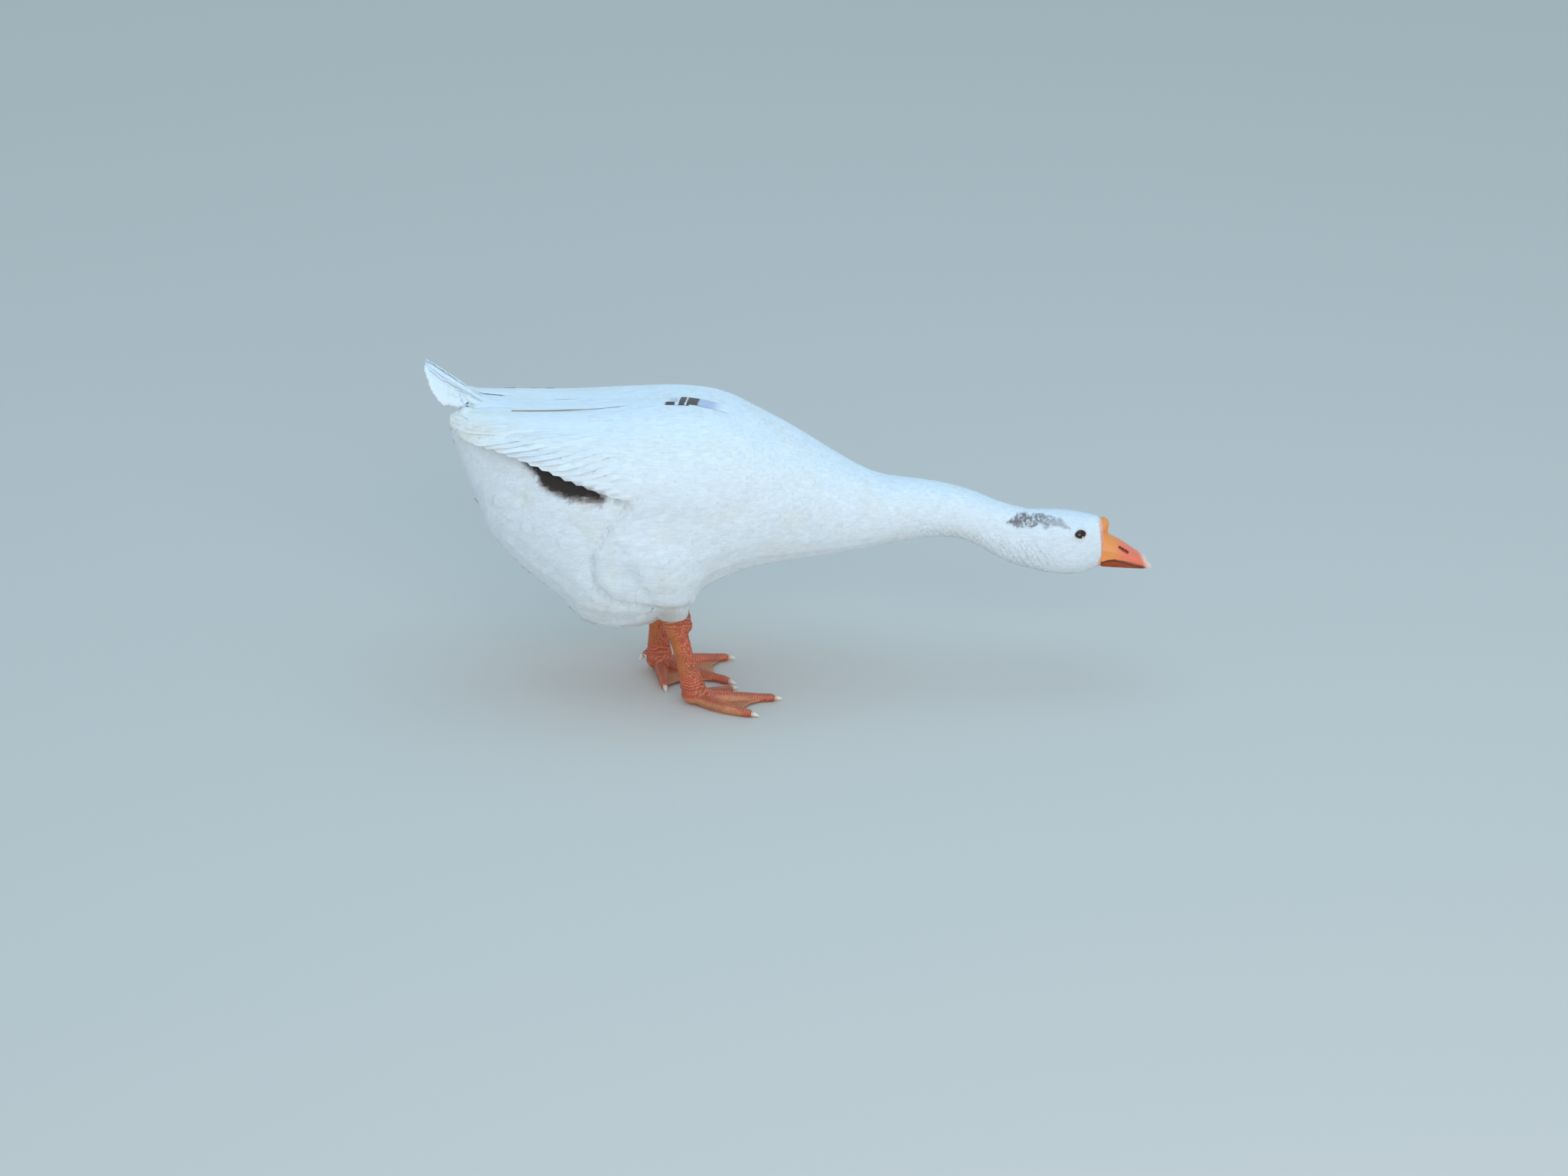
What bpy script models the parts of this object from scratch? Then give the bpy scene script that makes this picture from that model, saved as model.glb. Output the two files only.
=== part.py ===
"""A domestic goose in life size, as a still model: neck stretched low, tail up, feet flat on the floor.

Frame: metres, +X towards the bill, +Y to the bird's left, +Z up, floor at Z = 0.
Each named part of the bird is one closed solid, and neighbours keep a gap of 0.3 mm.
"""

import math

import bmesh
import bpy
from mathutils import Matrix, Vector

GAP = 0.0003

# All places below are measured from a point under the back; at the end the whole bird is moved by this
# much, so that its frame lies under the middle of its length.
MIDDLE_OF_LENGTH_X = 0.0061

# Outlines of the bird without wings, thighs and tail: (x, value) along the body.
REAR_X = -0.352
BILL_BASE_X = 0.3345
BACK_LINE = [
    (REAR_X, 0.312), (-0.300, 0.320), (-0.200, 0.328), (-0.110, 0.334), (-0.060, 0.327), (0.000, 0.300),
    (0.060, 0.2635), (0.100, 0.243), (0.150, 0.237), (0.190, 0.228), (0.235, 0.210), (0.262, 0.2050),
    (0.292, 0.2045), (BILL_BASE_X, 0.1965),
]
BELLY_LINE = [
    (REAR_X, 0.292), (-0.335, 0.245), (-0.316, 0.187), (-0.274, 0.140), (-0.236, 0.109), (-0.220, 0.087),
    (-0.183, 0.0765), (-0.145, 0.083), (-0.115, 0.104), (-0.088, 0.124), (-0.040, 0.146), (0.060, 0.161),
    (0.110, 0.171), (0.172, 0.178), (0.195, 0.171), (0.240, 0.146), (0.298, 0.134), (0.322, 0.136),
    (BILL_BASE_X, 0.143),
]
HALF_WIDTH = [
    (REAR_X, 0.010), (-0.330, 0.036), (-0.290, 0.066), (-0.230, 0.091), (-0.150, 0.102), (-0.080, 0.096),
    (-0.020, 0.080), (0.030, 0.062), (0.080, 0.045), (0.130, 0.0335), (0.180, 0.0275), (0.230, 0.0250),
    (0.270, 0.0262), (0.305, 0.0275), (0.323, 0.0232), (BILL_BASE_X, 0.0182),
]
WIDEST_SHARE = [
    (REAR_X, 0.60), (-0.250, 0.56), (-0.100, 0.54), (0.150, 0.50), (0.290, 0.44), (BILL_BASE_X, 0.42),
]
SQUARENESS = [(REAR_X, 2.0), (-0.200, 2.25), (0.060, 2.1), (BILL_BASE_X, 2.2)]
BODY_SIDES = 22
BODY_STEP = 0.0185

# Where the body is parted into trunk, lower neck, upper neck and head.
NECK_BASE_X = 0.046
NECK_MIDDLE_X = 0.150
NAPE_X = 0.258

# A folded wing: its lower edge hangs on the flank, its upper edge lies on the back, a quarter oval between.
WING_FRONT_X, WING_SPLIT_X, WING_TIP_X = -0.012, -0.268, -0.350
WING_LOWER_Y = [
    (WING_TIP_X, 0.0430), (-0.341, 0.0510), (-0.325, 0.0620),
    (-0.300, 0.0745), (-0.250, 0.0922), (-0.200, 0.1025),
    (-0.157, 0.1062), (-0.100, 0.1030), (-0.060, 0.0935), (-0.034, 0.0835), (WING_FRONT_X, 0.0690),
]
WING_LOWER_Z = [
    (WING_TIP_X, 0.3140), (-0.325, 0.3040), (-0.290, 0.2970),
    (-0.250, 0.2845), (-0.200, 0.2665), (-0.157, 0.2530),
    (-0.100, 0.2430), (-0.060, 0.2450), (-0.034, 0.2540), (WING_FRONT_X, 0.2680),
]
WING_UPPER_Y = [
    (WING_TIP_X, 0.0370), (-0.335, 0.0310), (-0.300, 0.0205),
    (-0.240, 0.0180), (-0.180, 0.0165), (-0.120, 0.0130),
    (-0.090, 0.0200), (-0.060, 0.0350), (-0.034, 0.0500), (WING_FRONT_X, 0.0630),
]
WING_UPPER_Z = [
    (WING_TIP_X, 0.3270), (-0.335, 0.3300), (-0.300, 0.3280),
    (-0.240, 0.3270), (-0.180, 0.3315), (-0.120, 0.3370),
    (-0.090, 0.3340), (-0.060, 0.3240), (-0.034, 0.3035), (WING_FRONT_X, 0.2810),
]
WING_THICKNESS = [
    (WING_TIP_X, 0.003), (-0.325, 0.008), (-0.270, 0.013), (-0.100, 0.016), (WING_FRONT_X, 0.006),
]
WING_EDGE_SHARE = 0.38
WING_ARC_STEPS, WING_ARM_STATIONS, WING_TIP_STATIONS = 7, 14, 6

# The tail fan, as sections from its root to its tip: (x, z, half width, thickness, droop of its edges).
TAIL_SECTIONS = [
    (-0.3000, 0.3125, 0.0150, 0.0180, 0.000), (-0.3160, 0.3200, 0.0185, 0.0160, 0.003),
    (-0.3320, 0.3325, 0.0230, 0.0130, 0.008), (-0.3455, 0.3440, 0.0275, 0.0100, 0.015),
    (-0.3580, 0.3545, 0.0340, 0.0075, 0.020), (-0.3685, 0.3635, 0.0310, 0.0055, 0.016),
    (-0.3765, 0.3695, 0.0150, 0.0035, 0.000),
]
TAIL_SIDES = 14

# Thigh feathering, as a drumstick from the hip to the hock: share of the way, half length, half thickness.
THIGH_SECTIONS = [
    (0.00, 0.0155, 0.0135), (0.08, 0.0195, 0.0190), (0.22, 0.0330, 0.0310), (0.42, 0.0520, 0.0410),
    (0.64, 0.0640, 0.0430), (0.82, 0.0590, 0.0390), (0.94, 0.0390, 0.0260), (1.00, 0.0160, 0.0110),
]
HOCK_Z = 0.100
THIGH_SIDES = 14

# The shank, from the ball of the foot to the hock: share of the way, half length, half width.
SHANK_RADII = [
    (0.00, 0.0150, 0.0098), (0.14, 0.0128, 0.0080), (0.42, 0.0098, 0.0064), (0.72, 0.0108, 0.0072),
    (1.00, 0.0132, 0.0098),
]
SHANK_SIDES = 12

# The legs: places of the ball of the foot, the hock and the hip. Toes: length, angle from straight ahead in
# degrees, + to the left, and bow. Hind toe: heading and length.
LEGS = {
    "right": {
        "ball": (-0.0982, -0.0450, 0.0135),
        "hock": (-0.1205, -0.0450, HOCK_Z),
        "hip": (-0.1520, -0.0730, 0.236),
        "toes": {"inner": (0.048, 37.0, 0.0), "middle": (0.085, 3.5, 0.0), "outer": (0.070, -30.0, -15.0)},
        "hind": (Vector((-0.45, 0.80, -0.75)), 0.021),
    },
    "left": {
        "ball": (-0.1390, 0.0450, 0.0135),
        "hock": (-0.1410, 0.0450, HOCK_Z),
        "hip": (-0.1580, 0.0730, 0.236),
        "toes": {"inner": (0.056, -82.0, 0.0), "middle": (0.087, -28.5, 0.0), "outer": (0.077, 16.0, 8.0)},
        "hind": (Vector((-0.95, 0.10, -0.66)), 0.021),
    },
}
BALL_RADII, BALL_DROP, FOOT_RISE = (0.0150, 0.0122, 0.0125), 0.0012, 0.0040
TOE_ROOT_RADIUS, TOE_TIP_RADIUS, TOE_ROOT_Z = 0.0080, 0.0042, 0.0095
TOE_REST_SHARE, TOE_SLOPE = 0.92, 3.0
TOE_SIDES, TOE_STEPS = 7, 5
KNUCKLES, KNUCKLE_SWELL = 3, 0.07
WEB_Z, WEB_RISE, WEB_SLOPE, WEB_THICKNESS = 0.0042, 0.0045, 2.4, 0.0020
WEB_START, WEB_REACH, WEB_SCALLOP = 0.06, 0.94, 0.20
WEB_COLUMNS, WEB_ROWS = 3, 3
HIND_ROOT_Z, HIND_RADII, HIND_ARCH = 0.0270, (0.0051, 0.0046, 0.0033), Vector((0, 0, 0.0012))
CLAW_LENGTH, CLAW_RADIUS, HIND_CLAW_LENGTH = 0.0090, 0.0030, 0.0065
CLAW_HOOK, CLAW_TAPER, CLAW_STEPS, CLAW_SIDES = 0.0016, 0.80, 4, 8

# Eyes, and the bill with its knob and nail.
EYE_PLACE, EYE_RADIUS = (0.3098, 0.0203, 0.1850), 0.0068
BILL_TIP_X = 0.3897
CULMEN_LINE = [
    (BILL_BASE_X, 0.186), (0.345, 0.1805), (0.352, 0.1738), (0.3685, 0.1612), (0.3772, 0.1557),
    (0.3846, 0.1503), (0.3880, 0.1462), (BILL_TIP_X, 0.1420),
]
GAPE_LINE = [
    (BILL_BASE_X, 0.1520), (0.352, 0.1530), (0.366, 0.1508), (0.377, 0.1468), (0.385, 0.1430),
    (BILL_TIP_X, 0.1395),
]
CHIN_LINE = [(BILL_BASE_X, 0.1425), (0.360, 0.1400), (0.380, 0.1392), (0.3855, 0.1398)]
BILL_HALF_WIDTH = [
    (BILL_BASE_X, 0.0160), (0.350, 0.0148), (0.366, 0.0128), (0.378, 0.0110), (0.386, 0.0082),
    (BILL_TIP_X, 0.0040),
]
BILL_STEPS, BILL_SIDES = 9, 11
UPPER_BILL_ARCH, LOWER_BILL_ARCH, LOWER_BILL_SHARE, LOWER_BILL_TIP_X = 0.85, 0.70, 0.88, 0.3855
KNOB_CENTRE, KNOB_RADII = (0.3355, 0.0, 0.1860), (0.0096, 0.0110, 0.0118)
NAIL_CENTRE, NAIL_RADII = (0.3900, 0.0, 0.1425), (0.0085, 0.0052, 0.0120)
NOSTRIL_CENTRE, NOSTRIL_RADII, NOSTRIL_TILT = (0.3600, 0.0110, 0.1618), (0.0036, 0.0040, 0.0011), 33.0

FINISHES = {
    "plumage": ((0.86, 0.89, 0.93), 0.75),
    "wing_plumage": ((0.88, 0.90, 0.93), 0.65),
    "bill_orange": ((0.88, 0.33, 0.12), 0.40),
    "leg_orange": ((0.72, 0.20, 0.07), 0.55),
    "claw_horn": ((0.82, 0.70, 0.62), 0.40),
    "eye_dark": ((0.02, 0.01, 0.01), 0.08),
}


def clear_scene():
    for old in list(bpy.data.objects):
        bpy.data.objects.remove(old, do_unlink=True)


def new_collection(name):
    made = bpy.data.collections.new(name)
    bpy.context.scene.collection.children.link(made)
    return made


def finish_of(name):
    found = bpy.data.materials.get(name)
    if found:
        return found
    colour, roughness = FINISHES[name]
    made = bpy.data.materials.new(name)
    made.use_nodes = True
    shader = made.node_tree.nodes["Principled BSDF"]
    shader.inputs["Base Color"].default_value = (*colour, 1.0)
    shader.inputs["Roughness"].default_value = roughness
    made.diffuse_color = (*colour, 1.0)
    return made


def follow(line, x):
    """The value at x of a smooth line through (x, value) points, which never swings past its points."""
    x = min(max(x, line[0][0]), line[-1][0])
    at = max(i for i in range(len(line) - 1) if line[i][0] <= x)
    slopes = [(b[1] - a[1]) / (b[0] - a[0]) for a, b in zip(line, line[1:])]

    def bend(i):
        if i == 0 or i == len(line) - 1:
            return slopes[min(i, len(slopes) - 1)]
        before, after = slopes[i - 1], slopes[i]
        return 0.0 if before * after <= 0 else 2 * before * after / (before + after)

    (x0, y0), (x1, y1) = line[at], line[at + 1]
    span = x1 - x0
    t = (x - x0) / span
    return (
        y0 * (1 + 2 * t) * (1 - t) ** 2 + y1 * t * t * (3 - 2 * t)
        + span * (bend(at) * t * (1 - t) ** 2 - bend(at + 1) * t * t * (1 - t))
    )


def spread(start, end, count):
    return [start + (end - start) * i / (count - 1) for i in range(count)]


def rounded(value, squareness):
    """A cosine or sine, bent so that a circle drawn with it grows squarer above 2."""
    return math.copysign(abs(value) ** (2 / squareness), value)


def object_of(name, shape, finish=None):
    """A mesh object from a bmesh: a part when it has a finish, otherwise a cutter."""
    bmesh.ops.recalc_face_normals(shape, faces=shape.faces)
    mesh = bpy.data.meshes.new(name)
    shape.to_mesh(mesh)
    shape.free()
    made = bpy.data.objects.new(name, mesh)
    if finish:
        mesh.materials.append(finish_of(finish))
        mesh.shade_smooth()
        mesh.set_sharp_from_angle(angle=math.radians(40))
        goose.objects.link(made)
    else:
        made.hide_render = True
        made.display_type = "WIRE"
        cutters.objects.link(made)
    return made


def loft(rings):
    """A closed bmesh through rings of as many points each, with a flat face at both ends."""
    shape = bmesh.new()
    rows = [[shape.verts.new(p) for p in ring] for ring in rings]
    for one, two in zip(rows, rows[1:]):
        for i in range(len(one)):
            j = (i + 1) % len(one)
            shape.faces.new((one[i], one[j], two[j]))
            shape.faces.new((one[i], two[j], two[i]))
    shape.faces.new(rows[0][::-1])
    shape.faces.new(rows[-1])
    return shape


def ellipsoid(centre, radii, turn=None, sides=12):
    """A closed ball stretched to three radii, and turned about its own centre."""
    shape = bmesh.new()
    bmesh.ops.create_uvsphere(shape, u_segments=sides, v_segments=sides // 2 + 2, radius=1.0)
    bmesh.ops.scale(shape, vec=radii, verts=shape.verts)
    if turn is not None:
        bmesh.ops.rotate(shape, matrix=turn, verts=shape.verts)
    bmesh.ops.translate(shape, vec=centre, verts=shape.verts)
    return shape


def keep_side(shape, point, outward):
    """Cuts a closed bmesh at a plane, drops what lies outward of it, and closes the cut."""
    everything = shape.verts[:] + shape.edges[:] + shape.faces[:]
    cut = bmesh.ops.bisect_plane(shape, geom=everything, plane_co=point, plane_no=outward, clear_outer=True)
    edges = [e for e in cut["geom_cut"] if isinstance(e, bmesh.types.BMEdge)]
    bmesh.ops.contextual_create(shape, geom=edges)
    return shape


def boolean(target, cutter, operation="DIFFERENCE"):
    change = target.modifiers.new(f"{operation.lower()}_{cutter.name}", "BOOLEAN")
    change.object = cutter
    change.operation = operation
    change.solver = "EXACT"


def settle(made):
    """Applies an object's modifiers, so that it can be a plain cutter or be cut again."""
    graph = bpy.context.evaluated_depsgraph_get()
    mesh = bpy.data.meshes.new_from_object(made.evaluated_get(graph))
    made.modifiers.clear()
    made.data = mesh


def side_sign(side):
    return 1 if side == "left" else -1


def body_rings():
    """Rounded sections across the body, from the rump to the base of the bill."""
    count = round((BILL_BASE_X - REAR_X) / BODY_STEP)
    rings = []
    for x in spread(REAR_X, BILL_BASE_X, count):
        top, bottom = follow(BACK_LINE, x), follow(BELLY_LINE, x)
        half, square = follow(HALF_WIDTH, x), follow(SQUARENESS, x)
        middle = bottom + (top - bottom) * follow(WIDEST_SHARE, x)
        ring = []
        for i in range(BODY_SIDES):
            turn = 2 * math.pi * (i + 0.5) / BODY_SIDES
            reach = top - middle if math.sin(turn) > 0 else middle - bottom
            rise = reach * rounded(math.sin(turn), square)
            ring.append((x, half * rounded(math.cos(turn), square), middle + rise))
        rings.append(ring)
    return rings


def body_length(name, rear=None, front=None):
    """The stretch of the body between two upright cuts, half a gap short of each."""
    shape = loft(body_rings())
    if rear is not None:
        keep_side(shape, (rear + GAP / 2, 0, 0), (-1, 0, 0))
    if front is not None:
        keep_side(shape, (front - GAP / 2, 0, 0), (1, 0, 0))
    return object_of(name, shape, "plumage")


def wing_ring(x, sign, grow=0.0):
    """One section of a folded wing: an arc from its lower to its upper edge, with a thinner edge at both."""
    low_y, low_z = follow(WING_LOWER_Y, x), follow(WING_LOWER_Z, x)
    high_y, high_z = follow(WING_UPPER_Y, x), follow(WING_UPPER_Z, x)
    reach, rise = low_y - high_y, high_z - low_z
    thick = follow(WING_THICKNESS, x)
    outer, inner = [], []
    for i in range(WING_ARC_STEPS + 1):
        share = i / WING_ARC_STEPS
        turn = share * math.pi / 2
        out = Vector((0, rise * math.cos(turn), reach * math.sin(turn))).normalized()
        along = Vector((0, out.z, -out.y)) * grow * (1 - 2 * share)
        point = Vector((x, high_y + reach * math.cos(turn), low_z + rise * math.sin(turn)))
        depth = thick * (WING_EDGE_SHARE + (1 - WING_EDGE_SHARE) * math.sin(math.pi * share))
        outer.append(point + out * grow + along)
        inner.append(point - out * (depth + grow) + along)
    return [Vector((p.x, p.y * sign, p.z)) for p in outer + inner[::-1]]


def wing_shape(side, stations, grow=0.0):
    return loft([wing_ring(x, side_sign(side), grow) for x in stations])


def make_wing(side):
    """The folded arm with its coverts and long inner quills, and the folded tip of the flight feathers."""
    tip = spread(WING_TIP_X, WING_SPLIT_X - GAP / 2, WING_TIP_STATIONS)
    arm = spread(WING_SPLIT_X + GAP / 2, WING_FRONT_X, WING_ARM_STATIONS)
    object_of(f"wing_{side}", wing_shape(side, arm), "wing_plumage")
    object_of(f"wing_tip_{side}", wing_shape(side, tip), "wing_plumage")
    whole = [WING_TIP_X - GAP, *tip, *arm, WING_FRONT_X + GAP]
    return object_of(f"wing_pocket_{side}", wing_shape(side, whole, GAP))


def tail_shape(grow=0.0):
    """An arched fan that narrows to its tip, from sections square to its own rise."""
    rings = []
    for i, (x, z, half, thick, droop) in enumerate(TAIL_SECTIONS):
        before, after = TAIL_SECTIONS[max(i - 1, 0)], TAIL_SECTIONS[min(i + 1, len(TAIL_SECTIONS) - 1)]
        along = Vector((after[0] - before[0], 0, after[1] - before[1])).normalized()
        up = Vector((along.z, 0, -along.x))
        end = -grow if i == 0 else (grow if i == len(TAIL_SECTIONS) - 1 else 0)
        ring = []
        for j in range(TAIL_SIDES):
            turn = 2 * math.pi * j / TAIL_SIDES
            sideways = Vector((0, (half + grow) * math.cos(turn), -droop * math.cos(turn) ** 2))
            upward = up * (thick / 2 + grow) * math.sin(turn)
            ring.append(Vector((x, 0, z)) + sideways + upward + along * end)
        rings.append(ring)
    return loft(rings)


def thigh_shape(side, grow=0.0):
    """The feathered thigh, from a flat foot at the hock to a rounded top inside the flank."""
    leg = LEGS[side]
    hock, hip = Vector(leg["hock"]), Vector(leg["hip"])
    rings = []
    for share, long, thick in THIGH_SECTIONS:
        middle = hock.lerp(hip, share)
        middle.z += grow if share == 1 else (-grow if share == 0 else 0)
        rings.append([
            middle + Vector((
                (long + grow) * math.cos(2 * math.pi * j / THIGH_SIDES),
                (thick + grow) * math.sin(2 * math.pi * j / THIGH_SIDES), 0,
            ))
            for j in range(THIGH_SIDES)
        ])
    return loft(rings)


def tube(points, radii, sides):
    """A closed tube along points, with its own radius at each."""
    rings = []
    for i, point in enumerate(points):
        along = (points[min(i + 1, len(points) - 1)] - points[max(i - 1, 0)]).normalized()
        across = along.orthogonal() if abs(along.z) > 0.9 else along.cross(Vector((0, 0, 1)))
        across.normalize()
        over = across.cross(along).normalized()
        rings.append([
            point + radii[i] * (across * math.cos(2 * math.pi * j / sides)
                                + over * math.sin(2 * math.pi * j / sides))
            for j in range(sides)
        ])
    return loft(rings)


def toe_direction(angle):
    return Vector((math.cos(math.radians(angle)), math.sin(math.radians(angle)), 0))


def toe_place(ball, toe, share):
    """The spot on the floor under a toe, at a share of its length; a bowed toe swings wide of its chord."""
    length, angle, bow = toe
    ahead = toe_direction(angle) * length * share
    aside = toe_direction(angle + 90) * math.tan(math.radians(bow)) * length * share * (1 - share)
    return Vector((ball.x, ball.y, 0)) + ahead + aside


def toe_radius(share):
    return TOE_ROOT_RADIUS + (TOE_TIP_RADIUS - TOE_ROOT_RADIUS) * share


def toe_points(ball, toe):
    """A toe's own line: down from the ball of the foot, then low along the floor, which flattens it."""
    points = []
    for i in range(TOE_STEPS + 1):
        share = i / TOE_STEPS
        rest = toe_radius(share) * TOE_REST_SHARE
        height = rest + (TOE_ROOT_Z - rest) * max(0.0, 1 - TOE_SLOPE * share) ** 2
        points.append(toe_place(ball, toe, share) + Vector((0, 0, height)))
    return points


def web_shape(ball, toes):
    """The skin between the toes, hollowed at its free edges, as a fan of columns from toe to toe."""
    order = sorted(toes.values(), key=lambda toe: toe[1])
    shape = bmesh.new()
    rows = []
    for one, two in zip(order, order[1:]):
        for i in range(WEB_COLUMNS + (two is order[-1])):
            share = i / WEB_COLUMNS
            reach = WEB_REACH * (1 - WEB_SCALLOP * math.sin(math.pi * share))
            row = []
            for k in range(WEB_ROWS + 1):
                out = WEB_START + (reach - WEB_START) * k / WEB_ROWS
                spot = toe_place(ball, one, out).lerp(toe_place(ball, two, out), share)
                height = WEB_Z + WEB_RISE * max(0.0, 1 - WEB_SLOPE * out) ** 2
                row.append(shape.verts.new(spot + Vector((0, 0, height))))
            rows.append(row)
    for one, two in zip(rows, rows[1:]):
        for k in range(WEB_ROWS):
            shape.faces.new((one[k], one[k + 1], two[k + 1], two[k]))
    lower = bmesh.ops.extrude_face_region(shape, geom=shape.faces[:])
    moved = [v for v in lower["geom"] if isinstance(v, bmesh.types.BMVert)]
    bmesh.ops.translate(shape, vec=(0, 0, -WEB_THICKNESS), verts=moved)
    return shape


def hind_line(side):
    """Root and tip of the raised hind toe."""
    leg = LEGS[side]
    heading, length = leg["hind"]
    ball, hock = Vector(leg["ball"]), Vector(leg["hock"])
    root = ball.lerp(hock, (HIND_ROOT_Z - ball.z) / (hock.z - ball.z))
    return root, root + heading.normalized() * length


def trim(made, *planes):
    """Applies an object's modifiers and cuts it at planes, each a point and the direction that goes."""
    settle(made)
    shape = bmesh.new()
    shape.from_mesh(made.data)
    for point, outward in planes:
        keep_side(shape, point, outward)
    bmesh.ops.recalc_face_normals(shape, faces=shape.faces)
    shape.to_mesh(made.data)
    shape.free()


def make_foot(side):
    """Ball of the foot, three front toes and their web, joined as the one piece of flesh that they are."""
    leg = LEGS[side]
    ball = Vector(leg["ball"])
    pad = ellipsoid(ball - Vector((0, 0, BALL_DROP)), BALL_RADII, sides=10)
    foot = object_of(f"foot_{side}", pad, "leg_orange")
    for name, toe in leg["toes"].items():
        radii = []
        for i in range(TOE_STEPS + 1):
            share = i / TOE_STEPS
            radii.append(toe_radius(share) * (1 + KNUCKLE_SWELL * math.cos(2 * math.pi * KNUCKLES * share)))
        shape = tube(toe_points(ball, toe), radii, TOE_SIDES)
        boolean(foot, object_of(f"toe_{side}_{name}", shape), "UNION")
    boolean(foot, object_of(f"web_{side}", web_shape(ball, leg["toes"])), "UNION")
    trim(foot, ((0, 0, 0), (0, 0, -1)), ((0, 0, ball.z + FOOT_RISE), (0, 0, 1)))


def shank_shape(side, grow=0.0):
    """The shank without its hind toe: an upright column of ovals, longer than wide."""
    leg = LEGS[side]
    ball, hock = Vector(leg["ball"]), Vector(leg["hock"])
    rings = []
    for share, long, wide in SHANK_RADII:
        middle = ball.lerp(hock, share)
        rings.append([
            middle + Vector((
                (long + grow) * math.cos(2 * math.pi * j / SHANK_SIDES),
                (wide + grow) * math.sin(2 * math.pi * j / SHANK_SIDES), 0,
            ))
            for j in range(SHANK_SIDES)
        ])
    return loft(rings)


def make_shank(side):
    """The scaly shank from the hock down to the ball of the foot, with the raised hind toe on its back."""
    ball, hock = Vector(LEGS[side]["ball"]), Vector(LEGS[side]["hock"])
    shank = object_of(f"shank_{side}", shank_shape(side), "leg_orange")
    root, tip = hind_line(side)
    line = [root, root.lerp(tip, 0.5) + HIND_ARCH, tip]
    boolean(shank, object_of(f"hind_toe_{side}", tube(line, HIND_RADII, TOE_SIDES)), "UNION")
    foot_top = ball.z + FOOT_RISE + GAP
    trim(shank, ((0, 0, foot_top), (0, 0, -1)), ((0, 0, hock.z - GAP), (0, 0, 1)))


def claw_shape(root, heading, length):
    """A short nail that hooks down a little, on a flat root."""
    heading = heading.normalized()
    points, radii = [], []
    for i in range(CLAW_STEPS + 1):
        share = i / CLAW_STEPS
        points.append(root + heading * length * share - Vector((0, 0, CLAW_HOOK * share * share)))
        radii.append(CLAW_RADIUS * (1 - CLAW_TAPER * share ** 1.5))
    return tube(points, radii, CLAW_SIDES)


def make_claws(side):
    leg = LEGS[side]
    ball = Vector(leg["ball"])
    for name, toe in leg["toes"].items():
        line = toe_points(ball, toe)
        heading = (line[-1] - line[-2]).normalized()
        heading.z = 0
        shape = claw_shape(line[-1] + heading * GAP, heading, CLAW_LENGTH)
        object_of(f"claw_{side}_{name}", shape, "claw_horn")
    root, tip = hind_line(side)
    heading = (tip - root.lerp(tip, 0.5) - HIND_ARCH).normalized()
    object_of(f"claw_{side}_hind", claw_shape(tip + heading * GAP, heading, HIND_CLAW_LENGTH), "claw_horn")


def make_eyes(head):
    for side in ("right", "left"):
        x, y, z = EYE_PLACE
        place = Vector((x, y * side_sign(side), z))
        turn = Matrix.Rotation(math.pi / 2, 3, "X")
        object_of(f"eye_{side}", ellipsoid(place, (EYE_RADIUS,) * 3, turn), "eye_dark")
        socket = ellipsoid(place, (EYE_RADIUS + GAP,) * 3, turn)
        boolean(head, object_of(f"socket_{side}", socket))


def upper_bill_shape():
    """An arch over a flat bite line, which narrows and drops to the tip."""
    rings = []
    for x in spread(BILL_BASE_X + GAP, BILL_TIP_X, BILL_STEPS):
        top, bottom, half = follow(CULMEN_LINE, x), follow(GAPE_LINE, x), follow(BILL_HALF_WIDTH, x)
        rings.append([
            (x, half * math.cos(math.pi * j / (BILL_SIDES - 1)),
             bottom + (top - bottom) * math.sin(math.pi * j / (BILL_SIDES - 1)) ** UPPER_BILL_ARCH)
            for j in range(BILL_SIDES)
        ])
    return loft(rings)


def lower_bill_shape():
    """A shallow trough shape that closes against the upper bill."""
    rings = []
    for x in spread(BILL_BASE_X + GAP, LOWER_BILL_TIP_X, BILL_STEPS):
        top, bottom = follow(GAPE_LINE, x) - 2 * GAP, follow(CHIN_LINE, x)
        half = follow(BILL_HALF_WIDTH, x) * LOWER_BILL_SHARE
        rings.append([
            (x, half * math.cos(math.pi * j / (BILL_SIDES - 1)),
             top - (top - bottom) * math.sin(math.pi * j / (BILL_SIDES - 1)) ** LOWER_BILL_ARCH)
            for j in range(BILL_SIDES)
        ])
    return loft(rings)


def grown(radii, amount=GAP):
    return tuple(r + amount for r in radii)


def make_bill():
    upper = object_of("bill_upper", upper_bill_shape(), "bill_orange")
    nail = object_of("bill_nail", upper_bill_shape(), "claw_horn")
    boolean(nail, object_of("nail_bound", ellipsoid(NAIL_CENTRE, NAIL_RADII)), "INTERSECT")
    boolean(upper, object_of("nail_bed", ellipsoid(NAIL_CENTRE, grown(NAIL_RADII))))
    knob = ellipsoid(KNOB_CENTRE, KNOB_RADII)
    keep_side(knob, (BILL_BASE_X + GAP, 0, 0), (-1, 0, 0))
    object_of("bill_knob", knob, "bill_orange")
    boolean(upper, object_of("knob_bed", ellipsoid(KNOB_CENTRE, grown(KNOB_RADII))))
    for side in ("right", "left"):
        x, y, z = NOSTRIL_CENTRE
        tilt = Matrix.Rotation(math.radians(NOSTRIL_TILT), 3, "Y")
        hole = ellipsoid((x, y * side_sign(side), z), NOSTRIL_RADII, tilt, sides=10)
        boolean(upper, object_of(f"nostril_{side}", hole))
    object_of("bill_lower", lower_bill_shape(), "bill_orange")


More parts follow.
